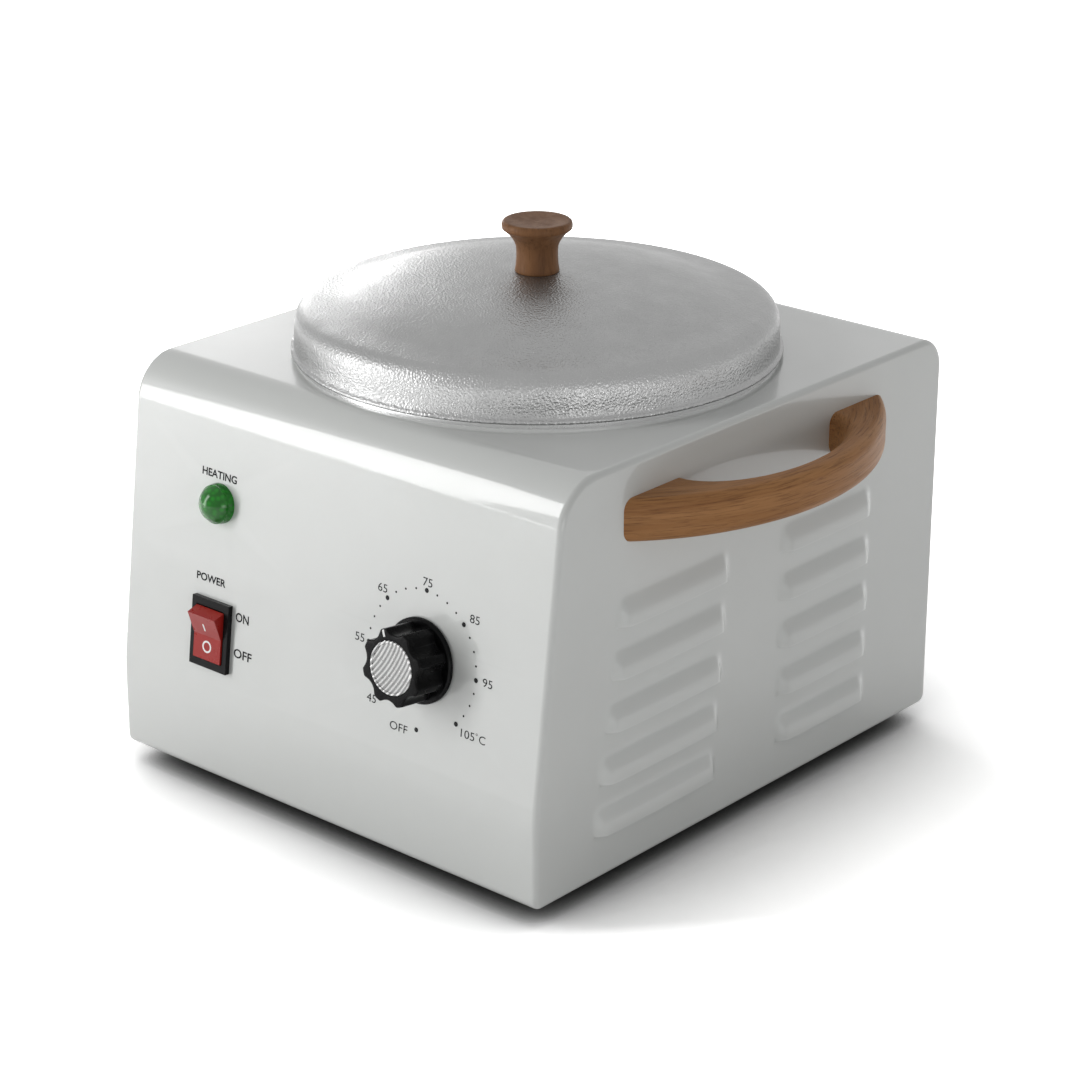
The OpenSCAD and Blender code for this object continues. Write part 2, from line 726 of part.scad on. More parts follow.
module bush_nut() {
    color("silver") on_front(dial_x, dial_v) difference() {
        translate([0, 0, 0]) cylinder(h = 2.5, r = 7.8, $fn = 6);
        translate([0, 0, -1]) cylinder(h = 5, r = bush_r);
    }
}

module thermostat_case() {
    color("white") on_front(dial_x, dial_v) translate([0, 0, -sheet_t - 2.5 - stat_d]) difference() {
        translate([-stat_w / 2, -stat_w / 2, 0]) cube([stat_w, stat_w, stat_d]);
        translate([0, 0, stat_d - 2]) cylinder(h = 3, r = shaft_r + 0.4);
        for (s = [-1, 1]) translate([s * (stat_w / 2 - 3), 0, -1])
            cube([1, stat_w + 2, 5], center = true);
    }
}

module thermostat_tags() {
    color("goldenrod") on_front(dial_x, dial_v) for (s = [-1, 1])
        translate([s * 7 - 3.15, -stat_w / 2 - 8, -sheet_t - 2.5 - stat_d / 2]) cube([6.3, 8, 0.8]);
}

// Sensing bulb upright in the band's gap, held against the well by its clip
module sensing_bulb() {
    color("goldenrod") translate([0, pot_cy - well_out - bulb_r - 0.1, band_z + 4]) {
        cylinder(h = bulb_len, r = bulb_r, $fn = 48);
        translate([0, 0, -8]) cylinder(h = 8, r = 0.6, $fn = 32);
    }
}

module bulb_clip() {
    color("silver") translate([0, pot_cy, band_z + 12]) difference() {
        translate([-2.7, -well_out - 2 * bulb_r - 1.2, 0]) cube([5.4, 2 * bulb_r + 1.6, 9]);
        translate([0, -well_out - bulb_r - 0.1, -1]) cylinder(h = 12, r = bulb_r, $fn = 48);
        translate([0, 0, -1]) cylinder(h = 12, r = well_out);
    }
}

// Rocker switch: a snap-in body with a frame, and the rocker on its two pivots
module switch_body() {
    color("black") on_front(-switch_x, switch_v) difference() {
        union() {
            translate([-switch_w / 2, -switch_len / 2, 0]) cube([switch_w, switch_len, switch_frame_t]);
            translate([-cut_w / 2, -cut_len / 2, -switch_depth]) cube([cut_w, cut_len, switch_depth]);
        }
        translate([-rocker_w / 2 - rocker_gap, -rocker_half - 1, -9])
            cube([rocker_w + 2 * rocker_gap, 2 * rocker_half + 2, 9 + switch_frame_t + 1]);
        translate([0, 0, pivot_out]) rotate([0, 90, 0])
            cylinder(h = cut_w - 0.2, r = pivot_r + 0.05, center = true);
    }
}

module rocker_outline() {
    tip = rocker_root + rocker_rise;
    polygon([[-rocker_half, tip], [0, rocker_root], [rocker_half, tip], [rocker_half + 0.8, -0.2],
             [rocker_half - 0.4, -1.8], [rocker_half - 3, -4.5], [3 - rocker_half, -4.5],
             [0.4 - rocker_half, -1.8], [-rocker_half - 0.8, -0.2]]);
}

module switch_rocker() {
    color("firebrick") on_front(-switch_x, switch_v)
        translate([0, 0, pivot_out]) rotate([rocker_tilt, 0, 0]) {
        translate([-rocker_w / 2, 0, 0]) rotate([90, 0, 90]) linear_extrude(rocker_w) rocker_outline();
        rotate([0, 90, 0]) cylinder(h = cut_w - 0.5, r = pivot_r, center = true);
    }
}

module switch_tags() {
    color("goldenrod") on_front(-switch_x, switch_v) for (s = [-1, 0, 1])
        translate([-2.4, s * 6 - 0.4, -switch_depth - 7]) cube([4.8, 0.8, 7]);
}

module indicator_lens() {
    cap_r = (pow(lens_r, 2) + pow(lens_dome, 2)) / (2 * lens_dome);
    color("green") on_front(-switch_x, lamp_v) difference() {
        union() {
            cylinder(h = lens_collar + 0.4, r = lens_r);
            translate([0, 0, lens_collar + lens_dome - cap_r]) sphere(cap_r);
        }
        translate([0, 0, -2 * cap_r]) cylinder(h = 2 * cap_r, r = 2 * cap_r);
        translate([0, 0, -1]) cylinder(h = lens_collar + 2, r = lens_r - 1.6);
    }
}

module indicator_barrel() {
    color("ivory") on_front(-switch_x, lamp_v) {
        translate([0, 0, -barrel_len]) cylinder(h = barrel_len, r = barrel_r);
        cylinder(h = lens_collar, r = 2.6);
        for (s = [-1, 1]) translate([s * 2 - 0.4, -1.4, -barrel_len - 6]) cube([0.8, 2.8, 6]);
    }
}

module indicator_nut() {
    color("silver") on_front(-switch_x, lamp_v) translate([0, 0, -sheet_t - 3]) difference() {
        cylinder(h = 3, r = 7.4, $fn = 6);
        translate([0, 0, -1]) cylinder(h = 5, r = barrel_r);
    }
}

// Mains inlet with its three pins
module inlet_mouth(clear) {
    w = inlet_w - 8 - clear;
    h = inlet_h - 9 - clear;
    polygon([[-w / 2, -h / 2], [w / 2, -h / 2], [w / 2, h / 2 - 4], [w / 2 - 4, h / 2],
             [4 - w / 2, h / 2], [-w / 2, h / 2 - 4]]);
}

module mains_inlet() {
    color("black") on_rear(-inlet_x, inlet_z) difference() {
        union() {
            translate([-inlet_w / 2, -inlet_h / 2, 0]) cube([inlet_w, inlet_h, inlet_proud]);
            translate([-inlet_w / 2 + 2.5, -inlet_h / 2 + 2.5, -inlet_depth])
                cube([inlet_w - 5, inlet_h - 5, inlet_depth + 1]);
        }
        translate([0, 0, -inlet_depth + 3]) linear_extrude(inlet_depth + inlet_proud) inlet_mouth(0);
        for (p = inlet_pin_places())
            translate([p[0] - 1, p[1] - 2, -inlet_depth - 1]) cube([2, 4, 6]);
    }
}

function inlet_pin_places() = [[-7, -1.5], [0, 2.5], [7, -1.5]];

module inlet_pins() {
    color("silver") on_rear(-inlet_x, inlet_z) for (p = inlet_pin_places())
        translate([p[0] - 1, p[1] - 2, -inlet_depth - 6]) cube([2, 4, inlet_depth + 3]);
}

module earth_stud() {
    color("goldenrod") on_rear(-inlet_x + inlet_w, inlet_z) {
        translate([0, 0, 0]) cylinder(h = 1.4, r = 3.6, $fn = 48);
        translate([0, 0, -12]) cylinder(h = 12, r = 2.1, $fn = 48);
        translate([0, 0, -sheet_t - 3]) cylinder(h = 3, r = 3.9, $fn = 6);
    }
}

module thermal_cutout() {
    color("lightgray") translate([0, pot_cy, well_floor]) {
        translate([0, 0, -9]) cylinder(h = 9, r = 8);
        translate([-12, -4, -1.2]) cube([24, 8, 1.2]);
        for (s = [-1, 1]) translate([s * 4 - 2.4, -0.4, -15]) cube([4.8, 0.8, 6]);
    }
}

module terminal_block() {
    color("ivory") translate([block_x, y0 + body_d - block_back - 16, z0]) difference() {
        cube([36, 16, 14]);
        for (i = [0 : 2]) translate([7 + 11 * i, 8, 7]) cylinder(h = 8, r = 2.2, $fn = 32);
        for (i = [0 : 2]) translate([7 + 11 * i, -1, 5]) rotate([-90, 0, 0])
            cylinder(h = 18, r = lead_r, $fn = 32);
    }
}

// A lead as straight runs along the axes, with a round bend at each corner
function lead_cut(p, i, j) = i == 0 || i == len(p) - 1 ? p[i] : p[i] + lead_bend * unit(p[j] - p[i]);

module lead(p) {
    for (i = [0 : len(p) - 2]) {
        a = lead_cut(p, i, i + 1);
        b = lead_cut(p, i + 1, i);
        d = unit(b - a);
        translate(a) rotate([0, acos(d[2]), atan2(d[1], d[0])])
            cylinder(h = norm(b - a), r = lead_r, $fn = 32);
    }
    for (i = [1 : len(p) - 2]) translate(p[i]) elbow(unit(p[i - 1] - p[i]), unit(p[i + 1] - p[i]));
}

// Quarter bend between the directions a and b, both along an axis
module elbow(a, b) {
    n = cross(a, b);
    turn = n[2] != 0 ? [0, 0, n[2] > 0 ? atan2(a[1], a[0]) : atan2(b[1], b[0])] :
           n[1] != 0 ? [90, 0, 0] : [90, 0, 90];
    from = n[2] != 0 ? 0 :
           n[1] != 0 ? (n[1] < 0 ? atan2(a[2], a[0]) : atan2(b[2], b[0])) :
           n[0] > 0 ? atan2(a[2], a[1]) : atan2(b[2], b[1]);
    rotate(turn) rotate([0, 0, from]) translate([lead_bend, lead_bend, 0]) rotate([0, 0, 180])
        rotate_extrude(angle = 90) translate([lead_bend, 0]) circle(lead_r, $fn = 32);
}

function front_point(x, v, n) = [x, y0 + v * sin(front_lean) - n * cos(front_lean),
    z0 + skirt_h + v * cos(front_lean) + n * sin(front_lean)];

// Three leads from the inlet to the block, then two to the thermostat and one to the switch
module wiring() {
    back = y0 + body_d;
    low = z0 + 5;
    stat = front_point(dial_x, dial_v - stat_w / 2 - 4, -sheet_t - 2.5 - stat_d / 2);
    tag = front_point(-switch_x, switch_v, -switch_depth - 7);
    goal = [[stat[0] + 7, stat[1], stat[2]], [stat[0] - 7, stat[1], stat[2]], tag];
    color("dimgray") for (i = [0 : 2]) {
        x = block_x + 7 + 11 * i;
        pin = inlet_pin_places()[i];
        lane = back - inlet_depth - 15 - 5 * i;
        lead([[pin[0] - inlet_x, back - inlet_depth - 6, z0 + inlet_z + pin[1]],
            [pin[0] - inlet_x, lane, z0 + inlet_z + pin[1]], [pin[0] - inlet_x, lane, low],
            [x, lane, low], [x, back - block_back - 12, low]]);
        side = 64 - 4 * i;
        end = goal[i];
        turn_y = end[1] + 9 + 5 * i;
        lead([[x, back - block_back - 4, low], [x, back - 4 - 3 * i, low], [side, back - 4 - 3 * i, low],
            [side, turn_y, low], [end[0], turn_y, low], [end[0], turn_y, end[2]],
            [end[0], end[1] + 0.3, end[2]]]);
    }
}

housing_wrap();
right_panel();
left_panel();
base_plate();
base_screws();
feet();
foot_screws();
heating_well();
well_screw_set();
heater_band();
heater_terminals();
insulation_sleeve();
insulation_pad();
pot();
lid();
lid_knob();
lid_knob_screw();
right_handle();
left_handle();
handle_screws();
dial_knob();
dial_disc();
thermostat_shaft();
thermostat_bush();
bush_nut();
thermostat_case();
thermostat_tags();
sensing_bulb();
bulb_clip();
switch_body();
switch_rocker();
switch_tags();
indicator_lens();
indicator_barrel();
indicator_nut();
mains_inlet();
inlet_pins();
earth_stud();
thermal_cutout();
terminal_block();
wiring();
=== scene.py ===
import math
import bmesh
import bpy
from mathutils import Matrix, Vector


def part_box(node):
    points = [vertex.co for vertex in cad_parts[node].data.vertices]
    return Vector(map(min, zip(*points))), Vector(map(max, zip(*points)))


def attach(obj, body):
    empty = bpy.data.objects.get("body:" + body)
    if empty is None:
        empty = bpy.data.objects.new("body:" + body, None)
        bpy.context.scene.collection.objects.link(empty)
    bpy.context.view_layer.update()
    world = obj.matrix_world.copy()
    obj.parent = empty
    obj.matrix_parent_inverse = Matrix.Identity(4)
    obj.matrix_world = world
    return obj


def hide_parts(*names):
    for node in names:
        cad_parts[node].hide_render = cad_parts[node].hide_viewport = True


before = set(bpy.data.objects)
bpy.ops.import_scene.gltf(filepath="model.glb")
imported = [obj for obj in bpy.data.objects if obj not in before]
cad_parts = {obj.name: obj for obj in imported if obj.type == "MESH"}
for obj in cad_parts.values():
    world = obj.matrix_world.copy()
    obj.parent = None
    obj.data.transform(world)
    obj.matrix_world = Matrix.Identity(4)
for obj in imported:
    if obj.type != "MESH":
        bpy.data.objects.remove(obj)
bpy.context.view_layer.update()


# Camera: a long lens at the front right, looking a little down on the lid.
wrap_low, wrap_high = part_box("housing_wrap")
front_y = wrap_low.y
camera_place = (0.57154, front_y - 0.55550, 0.40898)
camera_line = (-0.61300, 0.69851, -0.36920)
camera_lens = 103.03
bpy.ops.object.camera_add(location=camera_place)
camera = bpy.context.object
camera.rotation_euler = Vector(camera_line).to_track_quat("-Z", "Y").to_euler()
camera.data.lens = camera_lens
camera.data.clip_start = 0.05
camera.data.clip_end = 50
bpy.context.scene.camera = camera


# Studio: a white room, a little less bright overhead, that shiny surfaces mirror as plain white. A tall
# panel at the front left lies as a long highlight on the top bend, one behind at the left brightens the
# lid's rim, and one at the right puts the glints on the louvres.
bpy.context.scene.view_settings.view_transform = "Standard"
room_light = 0.39
ceiling_light = 0.36
room_white = (1.0, 1.0, 1.0, 1)


def fill_sockets(tree, node, values):
    """Gives a node's inputs their values. A value that is a socket itself is linked."""
    for key, value in values.items():
        if isinstance(value, bpy.types.NodeSocket):
            tree.links.new(value, node.inputs[key])
        else:
            node.inputs[key].default_value = value


def add_node(tree, kind, values, **settings):
    """A node with its settings and its filled inputs."""
    node = tree.nodes.new("ShaderNode" + kind)
    for key, value in settings.items():
        setattr(node, key, value)
    fill_sockets(tree, node, values)
    return node


def compute(tree, operation, first, second=0.5):
    """The result of one operation on one or two values."""
    return add_node(tree, "Math", {0: first, 1: second}, operation=operation).outputs[0]


def carry_range(tree, value, low, high, to_low, to_high):
    """A value carried from one range to another."""
    return add_node(tree, "MapRange", {"Value": value, "From Min": low, "From Max": high,
                    "To Min": to_low, "To Max": to_high}).outputs["Result"]


def looked_at(tree):
    """1 for the camera's own rays and for mirrored and refracted ones, 0 for light on dull surfaces."""
    path = add_node(tree, "LightPath", {})
    seen = compute(tree, "MAXIMUM", path.outputs["Is Camera Ray"], path.outputs["Is Transmission Ray"])
    return compute(tree, "MAXIMUM", seen, path.outputs["Is Glossy Ray"])


world = bpy.data.worlds.new("white_room")
bpy.context.scene.world = world
world.use_nodes = True
room = world.node_tree
room.nodes.clear()
room_parts = add_node(room, "SeparateXYZ", {0: add_node(room, "TexCoord", {}).outputs["Generated"]})
room_fall = carry_range(room, room_parts.outputs["Z"], 0.0, 1.0, room_light, ceiling_light)
room_level = compute(room, "MAXIMUM", looked_at(room), room_fall)
room_glow = add_node(room, "Background", {"Color": room_white, "Strength": room_level})
add_node(room, "OutputWorld", {"Surface": room_glow.outputs[0]})


def add_lamp(name, place, aim, power, width, height):
    """A square-cornered lamp panel at a place, turned to an aim."""
    bpy.ops.object.light_add(type="AREA", location=place)
    lamp = bpy.context.object
    lamp.name = name
    lamp.rotation_euler = (Vector(aim) - Vector(place)).to_track_quat("-Z", "Y").to_euler()
    lamp.data.energy = power
    lamp.data.shape = "RECTANGLE"
    lamp.data.size = width
    lamp.data.size_y = height


bend_middle = (0, -0.09, 0.12)
add_lamp("key_panel", (-1.00, -1.12, 0.58), bend_middle, 13.0, 0.35, 1.2)
add_lamp("back_panel", (-0.505, 0.306, 0.19), (0, 0, 0.14), 0.55, 0.16, 0.16)
add_lamp("glint_panel", (0.95, -0.46, 0.12), (0.08, -0.05, 0.06), 1.1, 0.35, 0.22)


# Floor: a plain white sheet. Seen by the camera it is lifted to full white, and the lamps' shadow stays.
# Close round the feet a painted shade, taken from ambient occlusion, darkens its colour.
floor_size = 30
floor_white = 0.80
floor_lift = 4.3
painted_shade_reach = 0.07
painted_shade_depth = 1.65
bpy.ops.mesh.primitive_plane_add(size=floor_size, location=(0, 0, 0))
floor = bpy.context.object
floor.name = "floor"
floor_paint = bpy.data.materials.new("floor_paper")
floor_paint.use_nodes = True
paper = floor_paint.node_tree
paper.nodes.clear()
floor_level = carry_range(paper, looked_at(paper), 0.0, 1.0, floor_white, floor_white * floor_lift)
# Painted shade: ambient occlusion darkens the floor's colour close to the object.
floor_near = add_node(paper, "AmbientOcclusion", {"Distance": painted_shade_reach})
painted_floor_shade = compute(paper, "POWER", floor_near.outputs["AO"], painted_shade_depth)
floor_dull = add_node(paper, "BsdfDiffuse", {"Color": compute(paper, "MULTIPLY", painted_floor_shade, floor_level)})
add_node(paper, "OutputMaterial", {"Surface": floor_dull.outputs[0]})
floor.data.materials.append(floor_paint)


# Housing: one box of folded sheet steel under a pale grey gloss coat. The front leans back, the
# bends are wide, the sides are pressed into louvres, and the coat hides every seam.
rear_y = wrap_high.y
under_z = wrap_low.z
top_z = wrap_high.z
half_width = 0.0825
skirt_height = 0.027
lean = math.radians(7.2)
sheet = 0.0012
fold = 0.0018
front_top_bend = 0.014
rear_top_bend = 0.0095
bottom_bend = 0.003
front_bend = 0.070
flange = 0.012
whole_flat, one_field = 0.01, 4e-4
bend_z = under_z + skirt_height
slope_back = (top_z - bend_z) * math.tan(lean)


def make_active(piece):
    """Makes one piece the only selected one."""
    bpy.ops.object.select_all(action="DESELECT")
    piece.select_set(True)
    bpy.context.view_layer.objects.active = piece


def start_editing(piece):
    """Opens the mesh of one piece with nothing picked."""
    make_active(piece)
    bpy.ops.object.mode_set(mode="EDIT")
    bpy.ops.mesh.select_all(action="DESELECT")


def stop_editing():
    """Closes the mesh under way."""
    bpy.ops.object.mode_set(mode="OBJECT")


def pick(piece, kind, wanted):
    """Picks only the vertices, edges or faces that pass the test, and says how many those are."""
    bpy.ops.mesh.select_mode(type=kind)
    bpy.ops.mesh.select_all(action="DESELECT")
    work = bmesh.from_edit_mesh(piece.data)
    parts = {"VERT": work.verts, "EDGE": work.edges, "FACE": work.faces}[kind]
    chosen = [part for part in parts if wanted(part)]
    for part in chosen:
        part.select_set(True)
    bmesh.update_edit_mesh(piece.data)
    return len(chosen)


def every(part, test):
    """Whether all corners of an edge or a face pass the test."""
    return all(test(v.co) for v in part.verts)


def near(a, b, slack=1e-5):
    """Whether two lengths are the same, but for rounding."""
    return abs(a - b) < slack


def settle(piece):
    """Puts a piece's place, turn and size into its mesh."""
    make_active(piece)
    bpy.ops.object.transform_apply(location=True, rotation=True, scale=True)


def apply_all(piece):
    """Applies a piece's modifiers in their order."""
    make_active(piece)
    for modifier in list(piece.modifiers):
        bpy.ops.object.modifier_apply(modifier=modifier.name)


def join(first, others):
    """Makes one piece of several, under the name of the first."""
    make_active(first)
    for piece in others:
        piece.select_set(True)
    bpy.ops.object.join()
    return first


def smooth(piece, degrees):
    """Shades a piece smooth, apart from edges that turn by more than this."""
    make_active(piece)
    bpy.ops.object.shade_smooth_by_angle(angle=math.radians(degrees))


def face_outward():
    """Turns all faces of the mesh under way to the outside."""
    bpy.ops.mesh.select_all(action="SELECT")
    bpy.ops.mesh.normals_make_consistent(inside=False)


def cut_across(place, normal):
    """Cuts the whole mesh under way along a plane."""
    bpy.ops.mesh.select_all(action="SELECT")
    bpy.ops.mesh.bisect(plane_co=place, plane_no=normal)


def round_edge(offset, segments):
    """Rounds the picked edges."""
    bpy.ops.mesh.bevel(offset=offset, offset_type="OFFSET", segments=segments, profile=0.5,
                       affect="EDGES", clamp_overlap=False)


def front_place(x, v, out=0.0):
    """The matrix of a place on the sloping front: x to the right, v up the slope, Z out of it."""
    foot = Vector((x, front_y + v * math.sin(lean), bend_z + v * math.cos(lean)))
    turn = Matrix.Rotation(math.pi / 2 - lean, 4, "X")
    return Matrix.Translation(foot) @ turn @ Matrix.Translation((0, 0, out))


bpy.ops.mesh.primitive_cube_add(size=1, location=(0, (front_y + rear_y) / 2, (under_z + top_z) / 2),
                                scale=(2 * (half_width - fold), rear_y - front_y, top_z - under_z))
housing = bpy.context.object
housing.name = "housing"
settle(housing)
start_editing(housing)
pick(housing, "FACE", lambda f: f.normal.y < -0.99)
bpy.ops.mesh.bisect(plane_co=(0, 0, bend_z), plane_no=(0, 0, 1))
pick(housing, "EDGE", lambda e: every(e, lambda c: near(c.y, front_y) and near(c.z, top_z)))
bpy.ops.transform.translate(value=(0, slope_back, 0))
bends = [(front_y + slope_back, top_z, front_top_bend, math.pi / 2 - lean, 16),
         (rear_y, top_z, rear_top_bend, math.pi / 2, 12),
         (front_y, bend_z, front_bend, lean, 4),
         (front_y, under_z, bottom_bend, math.pi / 2, 6),
         (rear_y, under_z, bottom_bend, math.pi / 2, 6)]
for edge_y, edge_z, radius, turn, steps in bends:
    pick(housing, "EDGE", lambda e: every(e, lambda c: near(c.y, edge_y) and near(c.z, edge_z)))
    round_edge(radius * math.tan(turn / 2), steps)
# The rolled rim: each side is inset and pushed out, step by step along a quarter round.
rim_steps = 5
for step in range(rim_steps):
    before, after = (math.pi / 2 * (step + k) / rim_steps for k in (0, 1))
    pick(housing, "FACE", lambda f: abs(f.normal.x) > 0.99 and f.calc_area() > whole_flat)
    bpy.ops.mesh.inset(thickness=fold * (math.cos(before) - math.cos(after)),
                       depth=fold * (math.sin(after) - math.sin(before)))

# The bottom is turned in as a flange and is open inside it.
pick(housing, "FACE", lambda f: f.normal.z < -0.99 and f.calc_area() > whole_flat)
bpy.ops.mesh.inset(thickness=flange, depth=0)
bpy.ops.mesh.delete(type="FACE")

# The other four flats are cut into fields, one for each louvre and each hole, and taken out.
flats = {"top": lambda f: f.normal.z > 0.99, "rear": lambda f: f.normal.y > 0.99,
         "sides": lambda f: abs(f.normal.x) > 0.99,
         "front": lambda f: near(f.normal.z, math.sin(lean), 1e-3) and f.normal.y < 0}
louvre_low = 0.014
louvre_pitch = 0.0149
louvre_count = 5
patch_below, patch_gap = 0.0016, 0.0006
column_split = 0.094
lips = [under_z + louvre_low + row * louvre_pitch for row in range(louvre_count)]
field_rows = [under_z] + [lip - patch_below - patch_gap for lip in lips[1:]] + [top_z]
field_columns = [front_y, front_y + column_split, rear_y]
front_split_x, front_split_z, rear_split_x = -0.010, bend_z + 0.0395, -0.025
cuts = [("sides", (0, 0, z), (0, 0, 1)) for z in field_rows[1:-1]]
cuts += [("sides", (0, field_columns[1], 0), (0, 1, 0)), ("front", (front_split_x, 0, 0), (1, 0, 0)),
         ("front", (0, 0, front_split_z), (0, 0, 1)), ("rear", (rear_split_x, 0, 0), (1, 0, 0))]
for flat, place, normal in cuts:
    pick(housing, "FACE", lambda f: flats[flat](f) and f.calc_area() > one_field)
    bpy.ops.mesh.bisect(plane_co=place, plane_no=normal)
for flat in flats.values():
    pick(housing, "FACE", lambda f: flat(f) and f.calc_area() > one_field)
    bpy.ops.mesh.delete(type="ONLY_FACE")
stop_editing()


# Louvres: slots for warm air, pressed out of the sheet of each side and slit along the lower lip,
# with soft closed ends.
louvre_out = 0.0027
front_start, front_length, front_step, rear_step = 0.0245, 0.052, 0.0023, 0.0011
rear_start, rear_length = 0.1065, 0.042
patch_side = 0.0022
lip_reach = 0.003
lip_rows = [(0.0, 1.0), (0.0020, 0.98), (0.0042, 0.78), (0.0064, 0.34), (0.0080, 0.06), (0.0094, 0.0)]
patch_above = 0.0106
end_columns = [(-0.0007, 0.0), (0.0008, 0.42), (0.0022, 0.86), (0.0042, 1.0)]


def press_louvre(start, length, lip):
    """One louvre as a patch of the right side, from its front end, its length and its lip's height."""
    stop = start + length
    low, high = lip - patch_below, lip + patch_above
    fore, aft = start - patch_side, stop + patch_side
    bpy.ops.mesh.primitive_plane_add(size=1, location=(half_width, (fore + aft) / 2, (low + high) / 2),
                                     rotation=(0, math.pi / 2, 0))
    patch = bpy.context.object
    patch.scale = (high - low, aft - fore, 1)
    settle(patch)
    start_editing(patch)
    columns = [(start + d, share) for d, share in end_columns]
    columns += [(stop - d, share) for d, share in reversed(end_columns)]
    for y, share in columns:
        cut_across((0, y, 0), (0, 1, 0))
    for rise, share in lip_rows:
        cut_across((0, 0, lip + rise), (0, 0, 1))
    slit_from, slit_to = columns[0][0] - 1e-6, columns[-1][0] + 1e-6
    pick(patch, "EDGE", lambda e: every(e, lambda c: near(c.z, lip) and slit_from < c.y < slit_to))
    bpy.ops.mesh.edge_split(type="EDGE")
    for rise, row_share in lip_rows:
        for y, share in columns:
            out = louvre_out * row_share * share
            if out == 0:
                continue
            pick(patch, "VERT", lambda v: near(v.co.y, y) and near(v.co.z, lip + rise)
                 and all(f.calc_center_median().z > lip + rise - lip_reach for f in v.link_faces)
                 and any(f.calc_center_median().z > lip + rise for f in v.link_faces))
            bpy.ops.transform.translate(value=(out, 0, 0))
    stop_editing()
    rounding = patch.modifiers.new("rounding", "SUBSURF")
    rounding.levels = 2
    rounding.render_levels = 2
    rounding.boundary_smooth = "PRESERVE_CORNERS"
    apply_all(patch)
    return patch


def mirror_copy(piece):
    """A mirrored copy of a piece of the right side, for the left side."""
    make_active(piece)
    bpy.ops.object.duplicate()
    copy = bpy.context.object
    start_editing(copy)
    bpy.ops.mesh.select_all(action="SELECT")
    bpy.ops.transform.mirror(constraint_axis=(True, False, False), center_override=(0, 0, 0))
    stop_editing()
    return copy


def middle_of(node):
    """The middle of a CAD node's box."""
    low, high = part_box(node)
    return (low + high) / 2


patches = []
for row, lip in enumerate(lips):
    front_from = front_y + front_start + row * front_step
    front_to = front_y + front_start + front_length + row * rear_step
    patches.append(press_louvre(front_from, front_to - front_from, lip))
    patches.append(press_louvre(front_y + rear_start, rear_length, lip))
right_louvres = join(patches[0], patches[1:])
left_louvres = mirror_copy(right_louvres)

# The patches go into the body, the holes are laid on its flats, and each flat is filled round them.
well_middle, inlet_middle, stud_middle = map(middle_of, ("heating_well", "mains_inlet", "earth_stud"))
well_hole, shaft_hole, lamp_hole, stud_hole = 0.0608, 0.0049, 0.00475, 0.0021
switch_wide, switch_tall = 0.0132, 0.0192
inlet_wide, inlet_tall = 0.0272, 0.0202
dial_x, dial_v = 0.0372, 0.0338
dial_place = front_place(dial_x, dial_v)
switch_x, switch_v = -0.0447, 0.0188
lamp_x, lamp_v = -0.0447, 0.0583
join(housing, [right_louvres, left_louvres])
start_editing(housing)


def lay_circle(radius, steps, place):
    """An open ring of edges in the mesh under way, at a place given as a matrix."""
    bpy.ops.mesh.select_all(action="DESELECT")
    bpy.ops.mesh.primitive_circle_add(vertices=steps, radius=radius, fill_type="NOTHING",
                                      location=place.to_translation(), rotation=place.to_euler())


def lay_rectangle(width, height, place):
    """An open rectangle of edges in the mesh under way, at a place given as a matrix."""
    bpy.ops.mesh.select_all(action="DESELECT")
    bpy.ops.mesh.primitive_plane_add(size=height, location=place.to_translation(),
                                     rotation=place.to_euler())
    bpy.ops.transform.resize(value=(width / height, 1, 1), center_override=place.to_translation())
    bpy.ops.mesh.delete(type="ONLY_FACE")


rear_turn = Matrix.Rotation(-math.pi / 2, 4, "X")
lay_circle(well_hole, 128, Matrix.Translation((0, well_middle.y, top_z)))
lay_circle(shaft_hole, 32, dial_place)
lay_circle(lamp_hole, 32, front_place(lamp_x, lamp_v))
lay_rectangle(switch_wide, switch_tall, front_place(switch_x, switch_v))
lay_rectangle(inlet_wide, inlet_tall,
              Matrix.Translation((inlet_middle.x, rear_y, inlet_middle.z)) @ rear_turn)
lay_circle(stud_hole, 24, Matrix.Translation((stud_middle.x, rear_y, stud_middle.z)) @ rear_turn)
front_foot = front_place(0, 0).to_translation()
front_normal = front_place(0, 0).to_3x3() @ Vector((0, 0, 1))


def fill_field(on_flat, xs, ys, zs):
    """Fills one field of a flat round the open loops in it, leaving the slits of the louvres."""
    def inside(c):
        spans = zip(c, (xs, ys, zs))
        return on_flat(c) and all(low - 1e-5 < part < high + 1e-5 for part, (low, high) in spans)

    def slit(e):
        on_lip = any(every(e, lambda c: near(c.z, lip)) for lip in lips)
        return on_lip and near(abs(e.verts[0].co.x), half_width)
    pick(housing, "EDGE", lambda e: (e.is_boundary or e.is_wire) and every(e, inside) and not slit(e))
    bpy.ops.mesh.fill(use_beauty=True)


wide, deep, high = (-half_width, half_width), (front_y, rear_y), (under_z, top_z)
low_part, high_part = (under_z, front_split_z), (front_split_z, top_z)
fill_field(lambda c: near(c.z, top_z), wide, deep, high)
for part in ((-half_width, rear_split_x), (rear_split_x, half_width)):
    fill_field(lambda c: near(c.y, rear_y), part, deep, high)
for part in ((-half_width, front_split_x), (front_split_x, half_width)):
    fill_field(lambda c: near((c - front_foot).dot(front_normal), 0), part, deep, low_part)
    fill_field(lambda c: near((c - front_foot).dot(front_normal), 0), part, deep, high_part)
for side in (half_width, -half_width):
    for row in range(louvre_count):
        for column in range(2):
            fill_field(lambda c: near(c.x, side), wide, field_columns[column:column + 2],
                       field_rows[row:row + 2])
bpy.ops.mesh.select_all(action="SELECT")
bpy.ops.mesh.remove_doubles(threshold=1e-6)
face_outward()
if pick(housing, "FACE", lambda f: f.normal.z < -0.9 and near(f.calc_center_median().z, top_z)) > 0:
    bpy.ops.mesh.select_all(action="SELECT")
    bpy.ops.mesh.flip_normals()
stop_editing()
wall = housing.modifiers.new("sheet", "SOLIDIFY")
wall.thickness = sheet
wall.offset = -1
apply_all(housing)
smooth(housing, 35)
